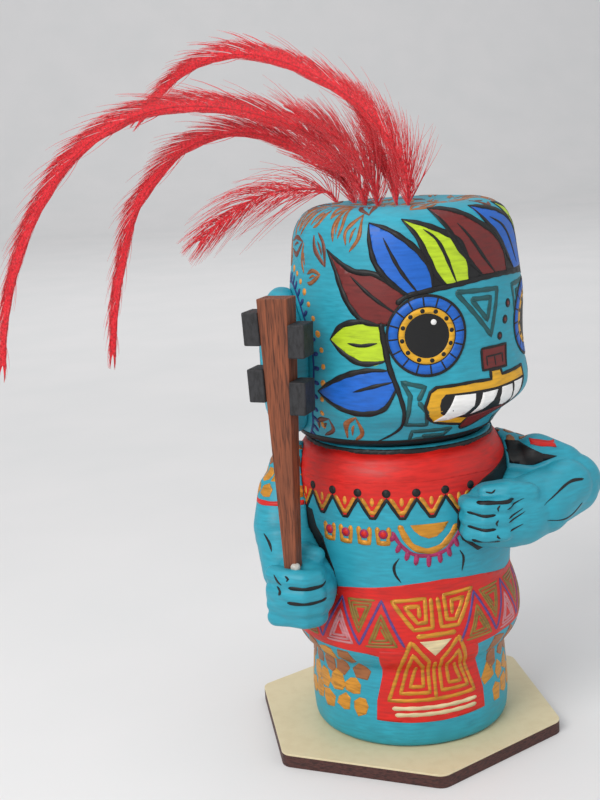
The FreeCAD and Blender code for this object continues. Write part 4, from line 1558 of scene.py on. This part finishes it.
# ---------------------------------------------------------------- crest
@dataclass(frozen=True)
class Feather:
    """A hackle feather: a bowed quill and two vanes of separate barbs, loose near the root."""
    name: str
    back: float
    sideways: float
    sweep: float
    line: tuple[Point, ...]
    barb: float = 14.0             # the longest barb in millimetres
    pitch: float = 0.15            # between barbs along the quill
    loose: float = 0.2             # the share of the quill with loose, open barbs
    lean: float = 13.0             # degrees between the barbs and the quill
    droop: float = 0.2             # how far the loose barbs hang, as a share of their length
    fringe: int = 1                # the vane with the longer barbs, -1 or 1
    seed: int = 1

    def reach(self) -> float:
        """The quill's length, taken straight between the points of its line."""
        return sum(math.dist(a, b) for a, b in zip(self.line, self.line[1:]))

    def spine(self) -> list[Vector]:
        """The quill's middle line from the crown out, in even steps.

        Returns:
            The line.
        """
        root = HEAD_MIDDLE + polar(-self.back, FACE_ANGLE) + polar(self.sideways, FACE_ANGLE + 90)
        root.z = HEAD_TOP.z - 0.6
        out = polar(1, self.sweep)
        points = [root - place(0, 0, 1.2)] + [root + out * x + place(0, 0, z) for x, z in self.line]
        return curve(points, self.pitch)

    def build(self) -> None:
        """Make the quill and the barbs."""
        rng = random.Random(self.seed)
        spine = self.spine()
        self.quill(spine)
        strands = bpy.data.curves.new(self.name + "_barbs", "CURVE")
        strands.dimensions = "3D"
        strands.bevel_depth = 0.075 * MM
        strands.bevel_resolution = 0
        strands.use_fill_caps = True
        plane = Vector((-math.sin(math.radians(self.sweep)), math.cos(math.radians(self.sweep)), 0))
        count = len(spine)
        for k in range(4, count - 2):
            share = k / count
            along = (spine[min(k + 2, count - 1)] - spine[k - 2]).normalized()
            for side in (-1, 1):
                if rng.random() < 0.05:
                    continue
                self.strand(strands, spine[k], along, plane, side, share, rng)
        self.link_curve(strands, self.name + "_barbs", FEATHER_RED)

    def strand(self, strands: bpy.types.Curve, start: Vector, along: Vector, plane: Vector, side: int,
               share: float, rng: random.Random) -> None:
        """Add one curved barb.

        Args:
            strands: the curve that takes it.
            start: where it leaves the quill.
            along: the quill's direction there.
            plane: the direction square to the feather's own plane.
            side: which vane, -1 or 1.
            share: how far along the feather it is, from 0 to 1.
            rng: the feather's own random numbers.
        """
        away = along.cross(plane).normalized() * side
        open_share = max(0.0, 1 - share / self.loose)
        clump = noise.noise(Vector((share * 46, side * 9.0, self.seed * 3.7)))
        stray = rng.random() < (0.08 if side == self.fringe else 0.02)
        lean = math.radians(self.lean + 8 * open_share + 2.5 * clump + (9 if stray else 0)
                            + rng.gauss(0, 1.2 + 6 * open_share))
        length = self.barb * rng.uniform(0.8, 1.0) * (1 + 0.1 * open_share) * (1.15 if stray else 1.0)
        length *= (1.0 if side == self.fringe else 0.85) * (1 - 0.6 * share ** 3)
        length = min(length, self.barb * 0.25 + (1 - share) * self.reach())
        lift = rng.gauss(0, 0.03 + 0.22 * open_share) + 0.05 * clump
        droop = (0.03 + self.droop * open_share) * rng.uniform(0.3, 1.3)
        spline = strands.splines.new("POLY")
        steps = 5
        spline.points.add(steps)
        for j in range(steps + 1):
            t = j / steps
            turn = lean * (1.25 - 0.62 * t)
            spot = start + (along * math.cos(turn) + away * math.sin(turn)) * length * t
            spot += plane * lift * length * t * t
            spot.z -= droop * length * t * t
            spline.points[j].co = (*(spot * MM), 1)
            spline.points[j].radius = 1.0 - 0.78 * t ** 1.5

    def quill(self, spine: Sequence[Vector]) -> None:
        """The tapered quill.

        Args:
            spine: its middle line.
        """
        shaft = bpy.data.curves.new(self.name + "_quill", "CURVE")
        shaft.dimensions = "3D"
        shaft.bevel_depth = 0.30 * MM
        shaft.bevel_resolution = 2
        shaft.use_fill_caps = True
        spline = shaft.splines.new("POLY")
        picked = list(spine[::4])
        spline.points.add(len(picked) - 1)
        for k, spot in enumerate(picked):
            share = k / (len(picked) - 1)
            spline.points[k].co = (*(spot * MM), 1)
            spline.points[k].radius = 1.0 - 0.86 * share ** 0.7
        self.link_curve(shaft, self.name + "_quill", QUILL_RED)

    def link_curve(self, strands: bpy.types.Curve, name: str, finish: Plumage) -> None:
        """Turn a curve into a dressed mesh that rides on the head.

        Args:
            strands: the curve, which is used up.
            name: the piece's.
            finish: what it is made of.
        """
        holder = bpy.data.objects.new("holder", strands)
        bpy.context.scene.collection.objects.link(holder)
        data = bpy.data.meshes.new_from_object(holder.evaluated_get(bpy.context.evaluated_depsgraph_get()))
        bpy.data.objects.remove(holder)
        bpy.data.curves.remove(strands)
        mesh = bmesh.new()
        mesh.from_mesh(data)
        bpy.data.meshes.remove(data)
        bmesh.ops.scale(mesh, vec=(1 / MM, 1 / MM, 1 / MM), verts=mesh.verts)
        piece = link_piece(mesh, name, HEAD, finish)
        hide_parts(self.name)


FEATHERS = (
    Feather("feather_front_long", -2.0, 0.0, 140, (
        (0.5, 6), (4.6, 14.3), (12.5, 21.9), (23.0, 28.1), (34.0, 31.9), (43.1, 32.6), (52.0, 30.9),
        (60.1, 26.8), (67.9, 20.6)), seed=11),
    Feather("feather_middle_long", 8.0, -1.3, 155, (
        (1.4, 4), (5.2, 8.4), (11.4, 14.9), (22.2, 19.6), (33.3, 22.0), (45.0, 22.1), (56.0, 19.1),
        (65.0, 14.0), (73.3, 6.0), (79.4, -2.7), (84.5, -13.0), (87.9, -23.5), (89.8, -34.0)),
            barb=15.0, seed=12),
    Feather("feather_rear_long", 13.0, 1.3, 147, (
        (1.6, 3.4), (4.8, 7.1), (11.6, 11.6), (20.5, 15.2), (29.5, 16.1), (39.9, 13.6), (48.3, 7.7),
        (54.3, 1.1), (59.0, -9.1), (62.7, -20.9), (65.0, -34.0)), seed=13),
    Feather("feather_front_fluff", 2.0, 1.3, 132, ((0.7, 4), (3.2, 8.3), (6.2, 15.5), (10.6, 22.7)),
            barb=15.0, pitch=0.11, loose=1.1, lean=7.0, droop=0.05, seed=14),
    Feather("feather_middle_fluff", 5.0, -1.3, 168, ((0.6, 3.4), (3.4, 8.6), (8.4, 14.5), (15.5, 19.0)),
            barb=15.0, pitch=0.13, loose=1.1, lean=8.0, droop=0.1, seed=15),
    Feather("feather_rear_fluff", 15.5, -1.3, 160, (
        (2.0, 2.6), (7.5, 3.6), (16.3, 2.9), (24.4, -1.2), (31.6, -6.6)),
            barb=17.0, pitch=0.30, loose=1.2, lean=13.0, droop=0.5, seed=16),
)


# ---------------------------------------------------------------- plain parts
def dress_node(node: str, finish: Finish) -> None:
    """Give a CAD node that stays a better finish.

    Args:
        node: its name.
        finish: what it gets.
    """
    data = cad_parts[node].data
    data.materials.clear()
    data.materials.append(finish.material())


@dataclass
class Stand:
    """The hexagonal board with its cream face and the two screws below."""
    edge: float = 0.12

    def build(self) -> None:
        """Ease the board's edges and dress the hidden hardware."""
        sharp_block("base_board", self.edge, BODY, BOARD_EDGE)
        sharp_block("base_top_laminate", 0.08, BODY, LAMINATE)
        dress_node("base_screws", STEEL)
        for node in ("neck_dowel", "right_arm_dowel", "left_arm_dowel"):
            dress_node(node, BARE_WOOD)


@dataclass
class Club:
    """The tapered wooden club with four black teeth and a bead of glue."""
    shaft_edge: float = 0.22
    tooth_edge: float = 0.30

    def build(self) -> None:
        """Ease the shaft's and the teeth's edges."""
        sharp_block("club_shaft", self.shaft_edge, BODY, CLUB_WOOD)
        for place_name in ("outer_upper", "outer_lower", "inner_upper", "inner_lower"):
            sharp_block("club_tooth_" + place_name, self.tooth_edge, BODY, TOOTH_BLACK)
        dress_node("club_glue_bead", GLUE)


# ---------------------------------------------------------------- studio
FIGURE_MIDDLE = place(0, 0, 70)


@dataclass
class Studio:
    """Pale sweep, soft lights and the camera."""
    eye: Vector = field(default_factory=lambda: place(-54.95, -263.5, 131.4))
    heading: float = 82.656        # of the view, in degrees about +Z from +X
    dip: float = 12.04
    roll: float = 3.489
    lens: float = 57.9

    def build(self) -> None:
        """Set the stage."""
        self.sweep()
        self.softbox("key", place(-330, -330, 420), 300, 2.0, (1.0, 0.985, 0.965))
        self.softbox("fill", place(420, -260, 260), 420, 0.3, (0.96, 0.98, 1.0))
        self.softbox("top", place(0, 80, 520), 420, 0.5, (1.0, 1.0, 1.0))
        self.softbox("backdrop", place(0, 600, 900), 900, 4.0, (1.0, 1.0, 1.0), place(0, 1950, 250))
        self.world()
        self.camera()

    def sweep(self) -> None:
        """The paper floor that curves up behind the figure."""
        mesh = bmesh.new()
        bmesh.ops.create_grid(mesh, x_segments=1, y_segments=1, size=1500)
        back = [e for e in mesh.edges if all(v.co.y > 0 for v in e.verts)]
        for k in range(1, 13):
            angle = math.radians(7.5 * k)
            made = bmesh.ops.extrude_edge_only(mesh, edges=back)["geom"]
            back = [g for g in made if isinstance(g, bmesh.types.BMEdge)]
            for vert in [g for g in made if isinstance(g, bmesh.types.BMVert)]:
                vert.co.y = 1500 + 500 * math.sin(angle)
                vert.co.z = 500 * (1 - math.cos(angle))
        made = bmesh.ops.extrude_edge_only(mesh, edges=back)["geom"]
        top = [g for g in made if isinstance(g, bmesh.types.BMVert)]
        bmesh.ops.translate(mesh, vec=(0, 0, 1500), verts=top)
        bmesh.ops.recalc_face_normals(mesh, faces=mesh.faces)
        bmesh.ops.scale(mesh, vec=(MM, MM, MM), verts=mesh.verts)
        data = bpy.data.meshes.new("sweep")
        mesh.to_mesh(data)
        mesh.free()
        data.shade_smooth()
        paper = Surface("sweep_paper")
        tint = paper.ramp(paper.speckle(60, 2), [(0.3, (229, 229, 229)), (0.7, (233, 232, 232))])
        data.materials.append(paper.dress(tint, paper.span(paper.speckle(3, 2), 0.75, 0.85)))
        floor = bpy.data.objects.new("sweep", data)
        bpy.context.scene.collection.objects.link(floor)

    def softbox(self, name: str, spot: Vector, size: float, power: float, tint: Sequence[float],
                aim_at: Vector = FIGURE_MIDDLE) -> None:
        """One square area light.

        Args:
            name: the light's.
            spot: where it stands, in millimetres.
            size: the square's side, in millimetres.
            power: in watts.
            tint: its linear colour.
            aim_at: the point that it faces.
        """
        light = bpy.data.lights.new(name, "AREA")
        light.shape = "SQUARE"
        light.size = size * MM
        light.energy = power
        light.color = tint
        lamp = bpy.data.objects.new(name, light)
        bpy.context.scene.collection.objects.link(lamp)
        aim = (aim_at - spot).to_track_quat("-Z", "Y").to_matrix().to_4x4()
        lamp.matrix_world = Matrix.Translation(spot * MM) @ aim

    def world(self) -> None:
        """The even light of a pale room."""
        world = bpy.data.worlds.new("room")
        world.use_nodes = True
        backing = world.node_tree.nodes["Background"]
        backing.inputs["Color"].default_value = linear((230, 231, 233))
        backing.inputs["Strength"].default_value = 0.70
        bpy.context.scene.world = world
        bpy.context.scene.view_settings.view_transform = "Standard"

    def camera(self) -> None:
        """The camera, a little above and to the left of the figure's front."""
        way = polar(math.cos(math.radians(self.dip)), self.heading, -math.sin(math.radians(self.dip)))
        level = Vector((way.y, -way.x, 0)).normalized()
        upright = level.cross(way)
        turn = math.radians(self.roll)
        right = level * math.cos(turn) - upright * math.sin(turn)
        up = level * math.sin(turn) + upright * math.cos(turn)
        data = bpy.data.cameras.new("camera")
        data.lens = self.lens
        data.clip_start = 0.01
        camera = bpy.data.objects.new("camera", data)
        facing = Matrix((right, up, -way)).transposed().to_4x4()
        camera.matrix_world = Matrix.Translation(self.eye * MM) @ facing
        bpy.context.scene.collection.objects.link(camera)
        bpy.context.scene.camera = camera


def main() -> None:
    """Build every sub-assembly in order."""
    Studio().build()
    Stand().build()
    Club().build()
    body = Skin("body_core_carved", ("body_core",), BODY)
    body.build()
    Costume(body).build()
    head = Skin("head_block_carved", ("head_block",), HEAD)
    head.build()
    Face(head).build()
    Crown(head).build()
    for side, name in ((-1, "ear_right"), (1, "ear_left")):
        ear = Skin(name + "_carved", (name,), HEAD, 0.45, 3, 0.05)
        ear.build()
        Ear(side, head, ear).build()
    RightArm().build()
    LeftArm().build()
    for feather in FEATHERS:
        feather.build()


if __name__ == "__main__":
    main()
